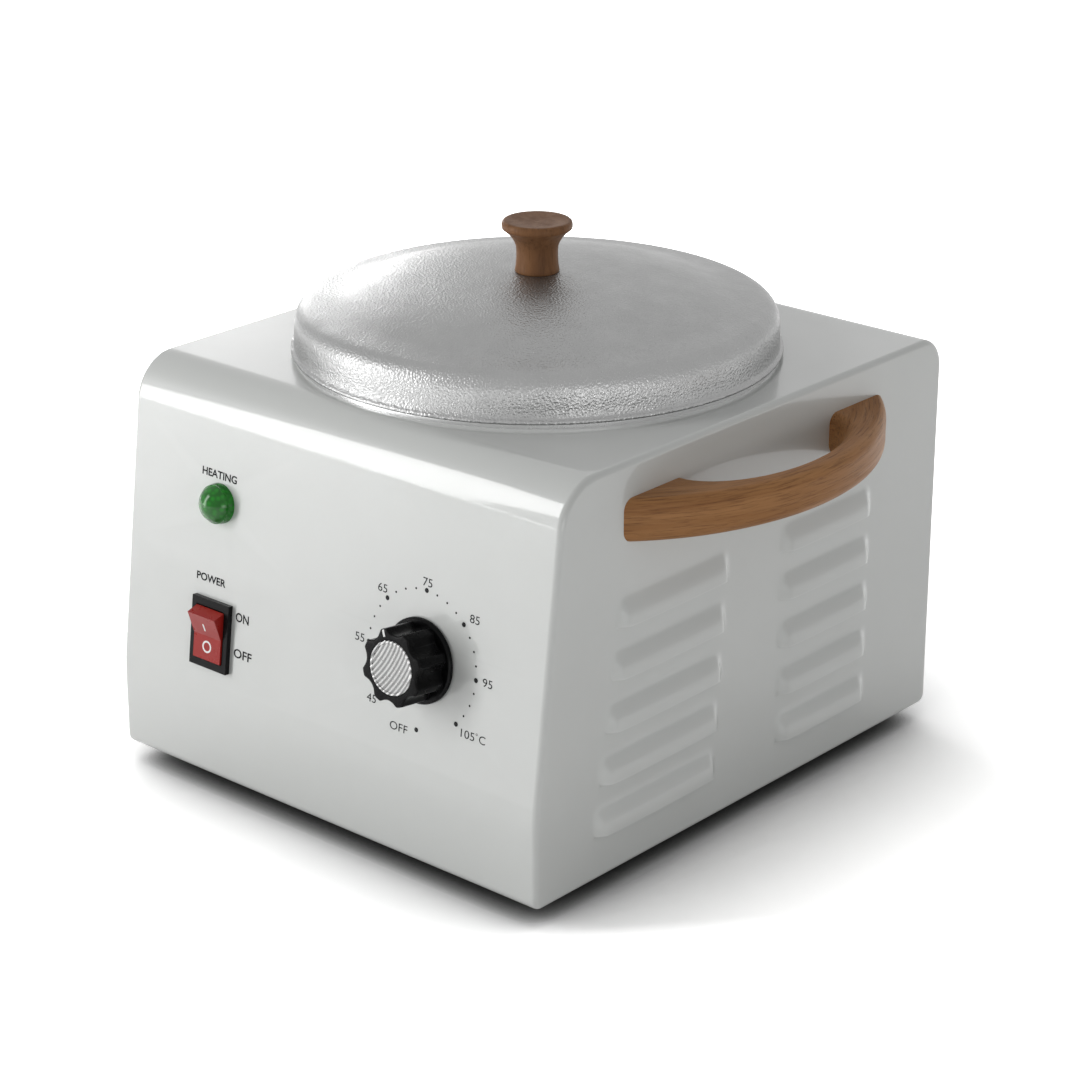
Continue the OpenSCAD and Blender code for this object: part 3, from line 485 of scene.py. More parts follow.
even = housing.modifiers.new("even_shade", "WEIGHTED_NORMAL")
even.keep_sharp = True
even.weight = 80
apply_all(housing)


def new_group(name, inputs, outputs):
    """An empty node group with its named sockets, and its way in and its way out."""
    tree = bpy.data.node_groups.new(name, "ShaderNodeTree")
    for label, kind, value in inputs:
        socket = tree.interface.new_socket(name=label, in_out="INPUT", socket_type=kind)
        socket.default_value = value
    for label, kind in outputs:
        tree.interface.new_socket(name=label, in_out="OUTPUT", socket_type=kind)
    return tree, tree.nodes.new("NodeGroupInput"), tree.nodes.new("NodeGroupOutput")


def mix_colors(tree, share, first, second):
    """Two colours mixed by a share."""
    return add_node(tree, "Mix", {0: share, 6: first, 7: second}, data_type="RGBA").outputs[2]


# Shared surface: a colour that clouds a little, a roughness that wanders, a fine grain for the bump,
# and convex edges lightened towards an edge colour. All the materials share it.
shared_surface, use_in, use_out = new_group(
    "shared_surface",
    [("Color", "NodeSocketColor", (0.8, 0.8, 0.8, 1)), ("Cloud", "NodeSocketFloat", 0.05),
     ("Scale", "NodeSocketFloat", 60.0), ("Grain Scale", "NodeSocketFloat", 900.0),
     ("Smooth", "NodeSocketFloat", 0.3), ("Dull", "NodeSocketFloat", 0.4),
     ("Edge Lightening", "NodeSocketFloat", 0.2), ("Edge Color", "NodeSocketColor", (0.9, 0.9, 0.9, 1))],
    [("Color", "NodeSocketColor"), ("Roughness", "NodeSocketFloat"), ("Grain", "NodeSocketFloat")])
use_place = add_node(shared_surface, "TexCoord", {}).outputs["Object"]
use_clouds = add_node(shared_surface, "TexNoise", {"Vector": use_place, "Scale": use_in.outputs["Scale"],
                      "Detail": 4.0, "Roughness": 0.6}).outputs["Fac"]
use_grain = add_node(shared_surface, "TexNoise", {"Vector": use_place, "Detail": 3.0, "Roughness": 0.6,
                     "Scale": use_in.outputs["Grain Scale"]}).outputs["Fac"]
use_tone = mix_colors(shared_surface, carry_range(shared_surface, use_clouds, 0.3, 0.7, 0.0,
                      use_in.outputs["Cloud"]), use_in.outputs["Color"], (0.02, 0.02, 0.02, 1))
# Convex edges, found by pointiness, are lightened towards the edge colour.
use_edge_lightening = carry_range(shared_surface, add_node(shared_surface, "NewGeometry", {}).outputs["Pointiness"],
                       0.53, 0.62, 0.0, use_in.outputs["Edge Lightening"])
use_rough = carry_range(shared_surface, use_clouds, 0.3, 0.7, use_in.outputs["Smooth"],
                        use_in.outputs["Dull"])
fill_sockets(shared_surface, use_out, {
    "Color": mix_colors(shared_surface, use_edge_lightening, use_tone, use_in.outputs["Edge Color"]),
    "Roughness": use_rough, "Grain": use_grain})


def start_material(name, sockets):
    """A material with its shader, whose sockets that are the same all over are set here."""
    paint = bpy.data.materials.new(name)
    paint.use_nodes = True
    shader = paint.node_tree.nodes["Principled BSDF"]
    fill_sockets(paint.node_tree, shader, sockets)
    return paint, paint.node_tree, shader


def add_bump(tree, height, strength, distance, under=None):
    """A bump from a height, laid over another bump where there is one."""
    over = {"Normal": under} if under else {}
    return add_node(tree, "Bump", {"Height": height, "Strength": strength, "Distance": distance,
                    **over}).outputs["Normal"]


def start_surface(name, color, sockets, values, grain):
    """A material with the shared surface: its colour, its roughness and its grain as a bump."""
    paint, tree, shader = start_material(name, sockets)
    surface = add_node(tree, "Group", {"Color": (*color, 1), **values}, node_tree=shared_surface)
    bump = add_bump(tree, surface.outputs["Grain"], 1.0, grain)
    fill_sockets(tree, shader, {"Base Color": surface.outputs["Color"],
                 "Roughness": surface.outputs["Roughness"], "Normal": bump})
    return paint, tree, shader, surface.outputs["Color"], bump


def plain_finish(name, color, sockets, values, grain):
    """A material that is the shared surface and nothing more."""
    return start_surface(name, color, sockets, values, grain)[0]


def paint_all(piece, paint):
    """Gives a piece one material in place of all it had."""
    piece.data.materials.clear()
    piece.data.materials.append(paint)


coat = plain_finish("powder_coat", (0.60, 0.615, 0.598),
                    {"Coat Weight": 0.6, "Coat Roughness": 0.05, "Specular IOR Level": 0.45},
                    {"Cloud": 0.025, "Scale": 25.0, "Grain Scale": 650.0, "Smooth": 0.285, "Dull": 0.345,
                     "Edge Lightening": 0.35, "Edge Color": (0.78, 0.79, 0.78, 1)}, 0.000006)
paint_all(housing, coat)
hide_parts("housing_wrap", "right_panel", "left_panel")
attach(housing, "housing")


# Printing on the front: plain words, the temperature scale and its dots, screen printed in black ink
# that stands four hundredths of a millimetre off the coat. Its sizes are in millimetres.
ink_out = 0.00004
scale_x, scale_v, scale_radius = 37.27, 33.65, 20.14
scale_start, scale_step, scale_dots = 225, 11.25, 25
dot_big, dot_small = 0.72, 0.33
number_wide, number_tall = 1.75, 1.2
prints = []


def place_print(piece, x, v, fit):
    """Lays a flat piece on the front, fitted by a matrix of its own."""
    piece.matrix_world = front_place(x / 1000, v / 1000, ink_out) @ fit
    settle(piece)
    prints.append(piece)


def print_word(word, left, right, low, high, weight):
    """A word as a flat mesh that fills a box on the front."""
    bpy.ops.object.text_add()
    piece = bpy.context.object
    piece.data.body = word
    piece.data.offset = weight
    piece.data.resolution_u = 4
    bpy.ops.object.convert(target="MESH")
    xs = [v.co.x for v in piece.data.vertices]
    ys = [v.co.y for v in piece.data.vertices]
    wide, tall = (right - left) / 1000 / (max(xs) - min(xs)), (high - low) / 1000 / (max(ys) - min(ys))
    place_print(piece, left, low,
                Matrix.Diagonal((wide, tall, 1, 1)) @ Matrix.Translation((-min(xs), -min(ys), 0)))


def print_dot(x, v, radius):
    """A dot as a flat disc."""
    bpy.ops.mesh.primitive_circle_add(vertices=20, radius=radius / 1000, fill_type="NGON")
    place_print(bpy.context.object, x, v, Matrix())


print_word("HEATING", -52.6, -38.3, 65.3, 67.7, 0.026)
print_word("POWER", -52.6, -40.5, 33.7, 36.1, 0.026)
print_word("ON", -35.6, -30.2, 25.1, 27.9, 0.018)
print_word("OFF", -35.6, -28.2, 14.2, 17.0, 0.018)
scale_words = [("45", 19.7, 17.7), ("55", 13.7, 34.0), ("65", 21.0, 50.3), ("75", 37.4, 56.1),
               ("85", 55.3, 50.3), ("95", 61.6, 33.9)]
for word, x, v in scale_words:
    print_word(word, x - number_wide, x + number_wide, v - number_tall, v + number_tall, 0.0)
print_word("105", 53.5, 58.5, 16.4, 18.8, 0.0)
print_word("°", 58.9, 59.6, 18.3, 19.0, 0.0)
print_word("C", 60.2, 62.5, 16.4, 18.8, 0.0)
print_word("OFF", 27.3, 34.0, 11.1, 13.5, 0.0)
for step in range(scale_dots):
    angle = math.radians(scale_start - scale_step * step)
    print_dot(scale_x + scale_radius * math.cos(angle), scale_v + scale_radius * math.sin(angle),
              dot_big if step % 4 == 0 else dot_small)
print_dot(scale_x, scale_v - scale_radius, dot_big)
panel_print = join(prints[0], prints[1:])
panel_print.name = "panel_print"
ink = plain_finish("black_ink", (0.008, 0.008, 0.009), {"Specular IOR Level": 0.12},
                   {"Cloud": 0.2, "Scale": 400.0, "Grain Scale": 3000.0, "Smooth": 0.32, "Dull": 0.5,
                    "Edge Lightening": 0.0}, 0.000003)
paint_all(panel_print, ink)
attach(panel_print, "housing")


# Lid: spun from one aluminium disc over a former, with a rolled rim, a soft shoulder and a shallow dome.
# The sheet is hammered in a fine pebble all over.
lid_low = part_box("lid")[0].z
lid_axis = well_middle.y
lid_thick = 0.0014
skirt_radius, skirt_high = 0.0710, 0.0085
pull_radius, pull_high = 0.0706, 0.0128
shoulder_radius, shoulder_high = 0.0660, 0.0138
shoulder_ease = 0.75
dome_radius, dome_foot, dome_rise = 0.0573, 0.0152, 0.0072
dome_steps, dome_span, dome_power = 16, 16.2, 2.8
pebble_scale, pebble_stray, pebble_deep = 1500.0, 0.0006, 0.00017


def turn_rings(name, rings, steps, floor_closed, end_closed):
    """A turned piece on the vertical axis: one circle, pushed up and resized ring by ring."""
    bpy.ops.mesh.primitive_circle_add(vertices=steps, radius=rings[0][0], location=(0, 0, rings[0][1]),
                                      fill_type="NGON" if floor_closed else "NOTHING")
    piece = bpy.context.object
    piece.name = name
    settle(piece)
    start_editing(piece)
    for (radius, height), (next_radius, next_height) in zip(rings, rings[1:]):
        pick(piece, "EDGE", lambda e: every(e, lambda c: near(c.z, height, 1e-7)
             and near(math.hypot(c.x, c.y), radius, 1e-6)))
        bpy.ops.mesh.extrude_edges_move(TRANSFORM_OT_translate={"value": (0, 0, next_height - height)})
        grow = next_radius / radius
        bpy.ops.transform.resize(value=(grow, grow, 1), center_override=(0, 0, next_height))
    if end_closed:
        bpy.ops.mesh.merge(type="COLLAPSE")
    face_outward()
    stop_editing()
    return piece


def move_to(piece, place):
    """Puts a finished mesh at its place, and the place into the mesh."""
    piece.matrix_world = place
    settle(piece)


lid_rings = [(0.07150, 0.0), (0.07205, 0.00012), (0.0722, 0.0004), (0.0722, 0.0008), (0.0719, 0.0012),
             (0.0714, 0.0015), (0.0712, 0.0020), (0.07115, 0.0045), (skirt_radius, skirt_high)]
for step in range(1, 11):
    t = step / 10
    lid_rings.append(((1 - t) ** 2 * skirt_radius + 2 * t * (1 - t) * pull_radius + t * t * shoulder_radius,
                      (1 - t) ** 2 * skirt_high + 2 * t * (1 - t) * pull_high + t * t * shoulder_high))
for step in range(1, 5):
    t = step / 4
    lid_rings.append((shoulder_radius + (dome_radius - shoulder_radius) * t,
                      shoulder_high + (dome_foot - shoulder_high)
                      * (shoulder_ease * t + (1 - shoulder_ease) * t * t)))
for step in range(1, dome_steps + 1):
    share = 1 - step / dome_span
    lid_rings.append((dome_radius * share, dome_foot + dome_rise * (1 - share ** dome_power)))
lid = turn_rings("lid_cover", lid_rings, 160, False, True)
lid_wall = lid.modifiers.new("sheet", "SOLIDIFY")
lid_wall.thickness = lid_thick
lid_wall.offset = -1
apply_all(lid)
smooth(lid, 50)
move_to(lid, Matrix.Translation((0, lid_axis, lid_low)))
hammered, hammered_tree, hammered_shader, _, hammered_bump = start_surface(
    "hammered_aluminium", (0.335, 0.336, 0.335), {"Metallic": 1.0},
    {"Cloud": 0.04, "Scale": 120.0, "Grain Scale": 2600.0, "Smooth": 0.36, "Dull": 0.44,
     "Edge Lightening": 0.3, "Edge Color": (0.7, 0.7, 0.7, 1)}, 0.00001)
hammered_place = add_node(hammered_tree, "TexCoord", {}).outputs["Object"]
hammered_bend = add_node(hammered_tree, "TexNoise", {"Vector": hammered_place, "Scale": 900.0,
                         "Detail": 2.0})
hammered_shift = add_node(hammered_tree, "VectorMath", {0: hammered_bend.outputs["Color"],
                          1: (pebble_stray,) * 3, 2: hammered_place}, operation="MULTIPLY_ADD")
hammered_dents = add_node(hammered_tree, "TexVoronoi", {"Vector": hammered_shift.outputs[0],
                          "Scale": pebble_scale, "Smoothness": 0.5}, feature="SMOOTH_F1")
fill_sockets(hammered_tree, hammered_shader, {"Normal": add_bump(
    hammered_tree, hammered_dents.outputs["Distance"], 1.0, pebble_deep, hammered_bump)})
paint_all(lid, hammered)
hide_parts("lid")
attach(lid, "lid")


# Lid knob: a turned beech mushroom on a waisted neck, oiled, with its grain upright. A screw from
# under the lid holds it.
knob_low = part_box("lid_knob")[0].z
knob_rings = [(0.00635, 0.0), (0.00655, 0.0003), (0.00640, 0.0012), (0.00625, 0.0022), (0.0061, 0.0045),
              (0.0061, 0.0064), (0.00625, 0.0078), (0.0068, 0.0092), (0.0077, 0.0106), (0.0089, 0.0119),
              (0.0099, 0.0127), (0.01025, 0.0130), (0.01035, 0.0134), (0.01035, 0.01425), (0.0102, 0.0148),
              (0.0098, 0.0152), (0.0093, 0.0153), (0.0084, 0.01522), (0.0065, 0.0150), (0.0040, 0.01485),
              (0.0015, 0.0148)]
knob = turn_rings("lid_grip", knob_rings, 96, True, True)
smooth(knob, 60)
move_to(knob, Matrix.Translation((0, lid_axis, knob_low)))

# Wood: broad soft bands, fine dark pores drawn out along the grain, and a thin oil that dulls in patches.
wood_figure, wood_in, wood_out = new_group(
    "wood_figure",
    [("Vector", "NodeSocketVector", (0, 0, 0)), ("Light", "NodeSocketColor", (0.36, 0.19, 0.095, 1)),
     ("Dark", "NodeSocketColor", (0.14, 0.06, 0.025, 1)), ("Band Scale", "NodeSocketFloat", 150.0),
     ("Pore Depth", "NodeSocketFloat", 0.6)],
    [("Color", "NodeSocketColor"), ("Roughness", "NodeSocketFloat"), ("Height", "NodeSocketFloat")])
wood_vector, wood_scale = wood_in.outputs["Vector"], wood_in.outputs["Band Scale"]
wood_bands = add_node(wood_figure, "TexNoise", {"Vector": wood_vector, "Scale": wood_scale, "Detail": 5.0,
                      "Roughness": 0.62, "Distortion": 0.6}).outputs["Fac"]
wood_pores = add_node(wood_figure, "TexNoise", {"Vector": wood_vector, "Detail": 3.0, "Roughness": 0.7,
                      "Scale": compute(wood_figure, "MULTIPLY", wood_scale, 7.0)}).outputs["Fac"]
wood_pore_mask = carry_range(wood_figure, wood_pores, 0.50, 0.68, 0.0, wood_in.outputs["Pore Depth"])
wood_base = mix_colors(wood_figure, carry_range(wood_figure, wood_bands, 0.34, 0.66, 0.0, 0.85),
                       wood_in.outputs["Light"], wood_in.outputs["Dark"])
fill_sockets(wood_figure, wood_out, {
    "Color": mix_colors(wood_figure, wood_pore_mask, wood_base, (0.045, 0.018, 0.008, 1)),
    "Roughness": carry_range(wood_figure, wood_bands, 0.3, 0.7, 0.38, 0.55),
    "Height": compute(wood_figure, "SUBTRACT", 1.0, wood_pore_mask)})


def use_wood(tree, shader, vector, light, dark, bands, pores, depth):
    """Puts the wood in a material, with its grain along the Z of the vector."""
    figure = add_node(tree, "Group", {"Vector": vector, "Light": (*light, 1), "Dark": (*dark, 1),
                      "Band Scale": bands, "Pore Depth": pores}, node_tree=wood_figure)
    fill_sockets(tree, shader, {"Base Color": figure.outputs["Color"],
                 "Roughness": figure.outputs["Roughness"],
                 "Normal": add_bump(tree, figure.outputs["Height"], 1.0, depth)})


knob_wood, knob_tree, knob_shader = start_material("oiled_beech", {"Specular IOR Level": 0.12})
knob_place = add_node(knob_tree, "TexCoord", {}).outputs["Object"]
knob_stretch = add_node(knob_tree, "Mapping", {"Vector": knob_place, "Scale": (1.0, 1.0, 0.12)})
use_wood(knob_tree, knob_shader, knob_stretch.outputs["Vector"], (0.235, 0.115, 0.052),
         (0.145, 0.067, 0.030), 160.0, 0.35, 0.00003)
paint_all(knob, knob_wood)
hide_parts("lid_knob")
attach(knob, "lid")


# Bow handles: oak, sawn as a bow with its grain along the arc, all edges rounded over. Each is held by
# two screws from inside the side.
grip_low, grip_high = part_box("right_handle")
grip_middle = (grip_low + grip_high) / 2
grip_thick = grip_high.z - grip_low.z
grip_round = 0.0034
grip_reach = grip_high.x - half_width
grip_half = (grip_high.y - grip_low.y) / 2
bow_radius = (grip_reach ** 2 + grip_half ** 2) / (2 * grip_reach)
bow_x = grip_high.x - bow_radius
opening_half, opening_deep = 0.033, 0.017
bar_width = 0.020
bow_angle = math.asin(grip_half / bow_radius)
bow_steps = 96
grain_drawn = 0.055
bpy.ops.mesh.primitive_cube_add(size=1, location=(0, 0, 0), scale=(bar_width, 2, grip_thick))
right_bow = bpy.context.object
right_bow.name = "right_bow_handle"
settle(right_bow)
start_editing(right_bow)
pick(right_bow, "EDGE", lambda e: abs(e.verts[0].co.y - e.verts[1].co.y) > 1)
round_edge(grip_round, 6)
for cut in range(1, bow_steps):
    cut_across((0, -1 + cut / (bow_steps / 2), 0), (0, 1, 0))
stop_editing()
# The bar is bent: its inner edge follows a half ellipse round the fingers, its outer edge a wide arc.
for vertex in right_bow.data.vertices:
    turn = vertex.co.y
    inner = Vector((half_width + opening_deep * math.cos(turn * math.pi / 2),
                    grip_middle.y + opening_half * math.sin(turn * math.pi / 2)))
    outer = Vector((bow_x + bow_radius * math.cos(turn * bow_angle),
                    grip_middle.y + bow_radius * math.sin(turn * bow_angle)))
    across = (outer - inner).normalized()
    spot = inner + across * (vertex.co.x + bar_width / 2) if vertex.co.x < 0 else \
        outer - across * (bar_width / 2 - vertex.co.x)
    vertex.co = (max(spot.x, half_width), spot.y, grip_middle.z + vertex.co.z)
smooth(right_bow, 40)
left_bow = mirror_copy(right_bow)
left_bow.name = "left_bow_handle"
start_editing(left_bow)
face_outward()
stop_editing()
smooth(left_bow, 40)
for side, bow in ((1, right_bow), (-1, left_bow)):
    oak, oak_tree, oak_shader = start_material(bow.name + "_oak", {"Specular IOR Level": 0.14})
    oak_place = add_node(oak_tree, "TexCoord", {}).outputs["Object"]
    oak_from = add_node(oak_tree, "VectorMath", {0: oak_place, 1: (side * bow_x, grip_middle.y, 0)},
                        operation="SUBTRACT")
    oak_parts = add_node(oak_tree, "SeparateXYZ", {0: oak_from.outputs[0]})
    oak_angle = compute(oak_tree, "ARCTAN2", oak_parts.outputs["Y"], oak_parts.outputs["X"])
    oak_flat = add_node(oak_tree, "CombineXYZ", {"X": oak_parts.outputs["X"], "Y": oak_parts.outputs["Y"]})
    oak_across = add_node(oak_tree, "VectorMath", {0: oak_flat.outputs[0]}, operation="LENGTH")
    oak_grain = add_node(oak_tree, "CombineXYZ", {
        "X": oak_across.outputs["Value"], "Y": oak_parts.outputs["Z"],
        "Z": compute(oak_tree, "MULTIPLY", oak_angle, bow_radius * grain_drawn)})
    use_wood(oak_tree, oak_shader, oak_grain.outputs[0], (0.42, 0.205, 0.080), (0.26, 0.113, 0.040),
             250.0, 0.50, 0.00006)
    paint_all(bow, oak)
    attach(bow, "housing")
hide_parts("right_handle")
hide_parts("left_handle")


# Control knob: moulded in black plastic, eight soft lobes on a round flange, pushed on the shaft.
# A disc of machined aluminium is pressed in its face, and one lobe carries a white line.
lobe_radius, scallop_radius, scallop_middle = 0.0110, 0.0042, 0.0136
knob_flange = 0.0122
flange_low, flange_high, face_high = 0.0004, 0.0019, 0.0122
pointer_angle = math.radians(111)
lobe_soft, lobe_foot = 0.00032, 0.0004
recess_radius, recess_deep = 0.00778, 0.0006
face_round, face_steps = 0.0006, 5
groove = 0.00015


def lobed(angle):
    """The distance of the grip's outline from the axis: a circle with eight scallops, softly joined."""
    aside = (angle - pointer_angle - math.radians(22.5)) % math.radians(45)
    aside = min(aside, math.radians(45) - aside)
    depth = scallop_radius ** 2 - (scallop_middle * math.sin(aside)) ** 2
    scallop = scallop_middle * math.cos(aside) - math.sqrt(depth) if depth > 0 else 2 * lobe_radius
    return -lobe_soft * math.log(math.exp(-scallop / lobe_soft) + math.exp(-lobe_radius / lobe_soft))


def push_ring(piece, rise, radius_at):
    """Pushes the picked ring up and sets each of its vertices at its distance from the axis."""
    bpy.ops.mesh.extrude_edges_move(TRANSFORM_OT_translate={"value": (0, 0, rise)})
    for vertex in bmesh.from_edit_mesh(piece.data).verts:
        if vertex.select:
            angle = math.atan2(vertex.co.y, vertex.co.x)
            vertex.co.xy = (radius_at(angle) * math.cos(angle), radius_at(angle) * math.sin(angle))
    bmesh.update_edit_mesh(piece.data)


bpy.ops.mesh.primitive_circle_add(vertices=384, radius=0.0070, location=(0, 0, flange_low + lobe_foot),
                                  fill_type="NGON")
dial = bpy.context.object
dial.name = "dial_grip"
settle(dial)
start_editing(dial)
pick(dial, "EDGE", lambda e: True)
push_ring(dial, 0, lobed)
push_ring(dial, face_high - face_round - flange_low - lobe_foot, lobed)
for step in range(1, face_steps + 1):
    turn, before = (math.radians(90 / face_steps * k) for k in (step, step - 1))
    push_ring(dial, face_round * (math.sin(turn) - math.sin(before)),
              lambda angle: lobed(angle) - face_round * (1 - math.cos(turn)))
push_ring(dial, 0, lambda angle: recess_radius + groove)
push_ring(dial, -groove, lambda angle: recess_radius)
push_ring(dial, groove - recess_deep, lambda angle: recess_radius)
push_ring(dial, 0, lambda angle: 0.001)
bpy.ops.mesh.merge(type="COLLAPSE")
face_outward()
stop_editing()
flange_rings = [(0.0116, flange_low), (knob_flange - 0.0002, flange_low),
                (knob_flange, flange_low + 0.0002), (knob_flange, flange_high - 0.0006),
                (knob_flange - 0.00015, flange_high - 0.0003), (knob_flange - 0.0005, flange_high),
                (0.0086, flange_high + 0.0001), (0.0060, flange_high + 0.0001)]
join(dial, [turn_rings("dial_flange", flange_rings, 192, True, True)])
smooth(dial, 35)
move_to(dial, dial_place)
gloss_black = plain_finish(
    "moulded_black", (0.002, 0.002, 0.0022),
    {"Specular IOR Level": 0.05, "Coat Weight": 0.03, "Coat Roughness": 0.1},
    {"Cloud": 0.1, "Scale": 220.0, "Grain Scale": 2500.0, "Smooth": 0.20, "Dull": 0.32,
     "Edge Lightening": 0.12, "Edge Color": (0.10, 0.10, 0.105, 1)}, 0.000004)
paint_all(dial, gloss_black)
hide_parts("dial_knob")
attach(dial, "dial")


# Disc in the knob's face: turned from aluminium bar, faced with a tool that leaves fine arcs, and
# pressed into its recess. Its colour is darker in each arc's trough, a painted reflection.
disc_radius, disc_thick, disc_high = 0.0077, 0.0008, 0.0124
disc_edge, disc_sunk = 0.0002, 0.00015
arc_x, arc_v = -0.027, 0.017
arc_pitch, arc_deep = 0.00118, 0.00009
disc_rings = [(0.0070, disc_high - disc_thick), (disc_radius, disc_high - disc_thick),
              (disc_radius, disc_high - disc_edge), (disc_radius - disc_edge, disc_high),
              (0.0069, disc_high), (0.0068, disc_high - disc_sunk), (0.0040, disc_high - disc_sunk),
              (0.0010, disc_high - disc_sunk)]
disc = turn_rings("dial_face", disc_rings, 128, True, True)
smooth(disc, 30)
move_to(disc, dial_place)
machined, machined_tree, machined_shader, machined_color, machined_bump = start_surface(
    "machined_disc", (0.29, 0.29, 0.287), {"Metallic": 1.0},
    {"Cloud": 0.08, "Scale": 300.0, "Grain Scale": 4000.0, "Smooth": 0.22, "Dull": 0.3,
     "Edge Lightening": 0.6, "Edge Color": (0.92, 0.92, 0.91, 1)}, 0.000004)
arc_middle = front_place(dial_x + arc_x, dial_v + arc_v).to_translation()
machined_place = add_node(machined_tree, "TexCoord", {}).outputs["Object"]
machined_from = add_node(machined_tree, "VectorMath", {0: machined_place, 1: tuple(arc_middle)},
                         operation="DISTANCE")
machined_wave = compute(machined_tree, "SINE", compute(
    machined_tree, "MULTIPLY", machined_from.outputs["Value"], 2 * math.pi / arc_pitch))
# Painted reflection: the colour darkens in each trough of the arcs, besides the real bump.
fill_sockets(machined_tree, machined_shader, {
    "Base Color": mix_colors(machined_tree, carry_range(machined_tree, machined_wave, -0.8, 0.8, 0.0, 1.0),
                             (0.115, 0.115, 0.115, 1), machined_color),
    "Normal": add_bump(machined_tree, machined_wave, 1.0, arc_deep, machined_bump)})
paint_all(disc, machined)
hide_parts("dial_disc")
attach(disc, "dial")


# Pointer: a white line let into one lobe of the knob, over the edge of its top and down its outer
# side.
line_middle, line_long, line_wide, line_tall = 0.00985, 0.0022, 0.0007, 0.0009
line_sunk, line_deep = 0.0004, 0.0052
line_end, line_top, line_round = 0.0105, face_high + 0.00005, 0.0006
bpy.ops.mesh.primitive_cube_add(size=1, location=(line_middle, 0, face_high - line_sunk),
                                scale=(line_long, line_wide, line_tall))
pointer = bpy.context.object
pointer.name = "dial_pointer"
settle(pointer)
start_editing(pointer)
pick(pointer, "FACE", lambda f: f.normal.z < -0.9)
bpy.ops.mesh.extrude_region_move(TRANSFORM_OT_translate={"value": (0, 0, -line_deep)})
pick(pointer, "EDGE", lambda e: every(e, lambda c: near(c.z, line_top) and c.x > line_end))
round_edge(line_round, 3)
stop_editing()
move_to(pointer, dial_place @ Matrix.Rotation(pointer_angle, 4, "Z"))
white_line = plain_finish(
    "white_paint", (0.86, 0.86, 0.85), {"Specular IOR Level": 0.4},
    {"Cloud": 0.05, "Scale": 600.0, "Grain Scale": 4000.0, "Smooth": 0.35, "Dull": 0.5,
     "Edge Lightening": 0.0}, 0.000004)
paint_all(pointer, white_line)
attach(pointer, "dial")


# Carried-over pieces: the turned, pressed, moulded and bought parts inside and below. Each keeps the
# shape of its CAD node and gets the finish of its real material.
def carry_over(name, color, metallic, smooth_to_dull, clouds, grain, edge_lightening=None, sockets=None):
    """A finish from a colour, a metal share, a roughness range, clouds (how deep, their scale and the
    grain's scale), the depth of the grain and how far the convex edges are lightened."""
    values = dict(zip(("Smooth", "Dull", "Cloud", "Scale", "Grain Scale"), smooth_to_dull + clouds))
    return plain_finish(name, color, {"Metallic": metallic, **(sockets or {})}, {**values, **(edge_lightening or {})},
                        grain)


spun = carry_over("spun_aluminium", (0.72, 0.72, 0.72), 1.0, (0.24, 0.36), (0.08, 45.0, 900.0), 0.00001)
zinc = carry_over("zinc_plated", (0.56, 0.57, 0.58), 1.0, (0.25, 0.42), (0.15, 260.0, 2200.0), 0.00001,
                  {"Edge Lightening": 0.4})
bare_steel = carry_over("bare_steel", (0.45, 0.45, 0.45), 1.0, (0.32, 0.5), (0.2, 70.0, 900.0), 0.00002,
                        {"Edge Lightening": 0.4})
band_steel = carry_over("heated_band", (0.40, 0.37, 0.33), 1.0, (0.35, 0.55), (0.35, 60.0, 700.0), 0.00003)
fired_clay = carry_over("fired_ceramic", (0.80, 0.77, 0.70), 0.0, (0.35, 0.6), (0.08, 200.0, 1800.0),
                        0.00003)
wool = carry_over("mineral_wool", (0.62, 0.58, 0.48), 0.0, (0.85, 1.0), (0.3, 180.0, 900.0), 0.0004,
                  {"Edge Lightening": 0.0})
rubber = carry_over("foot_rubber", (0.022, 0.022, 0.022), 0.0, (0.6, 0.85), (0.3, 150.0, 1600.0), 0.00004,
                    {"Edge Lightening": 0.2, "Edge Color": (0.08, 0.08, 0.08, 1)})
moulding = carry_over("black_moulding", (0.005, 0.005, 0.0055), 0.0, (0.25, 0.38), (0.15, 160.0, 2200.0),
                      0.000008, {"Edge Lightening": 0.15, "Edge Color": (0.04, 0.04, 0.04, 1)},
                      {"Specular IOR Level": 0.06})
brass = carry_over("turned_brass", (0.62, 0.42, 0.17), 1.0, (0.22, 0.36), (0.15, 200.0, 1800.0), 0.000008)
copper = carry_over("drawn_copper", (0.60, 0.27, 0.14), 1.0, (0.25, 0.4), (0.3, 160.0, 1500.0), 0.00001)
white_block = carry_over("white_nylon", (0.80, 0.79, 0.74), 0.0, (0.4, 0.55), (0.06, 130.0, 1400.0),
                         0.00002)
sleeve = carry_over("wire_sleeve", (0.30, 0.29, 0.26), 0.0, (0.6, 0.8), (0.3, 240.0, 2600.0), 0.00005)
inner_coat = carry_over("base_coat", (0.60, 0.615, 0.598), 0.0, (0.32, 0.42), (0.05, 40.0, 650.0), 0.00001,
                        {"Edge Lightening": 0.3})
rocker_red = carry_over("rocker_red", (0.33, 0.014, 0.010), 0.0, (0.24, 0.34), (0.06, 200.0, 2200.0),
                        0.000006, {"Edge Lightening": 0.3, "Edge Color": (0.45, 0.06, 0.04, 1)},
                        {"Specular IOR Level": 0.2})
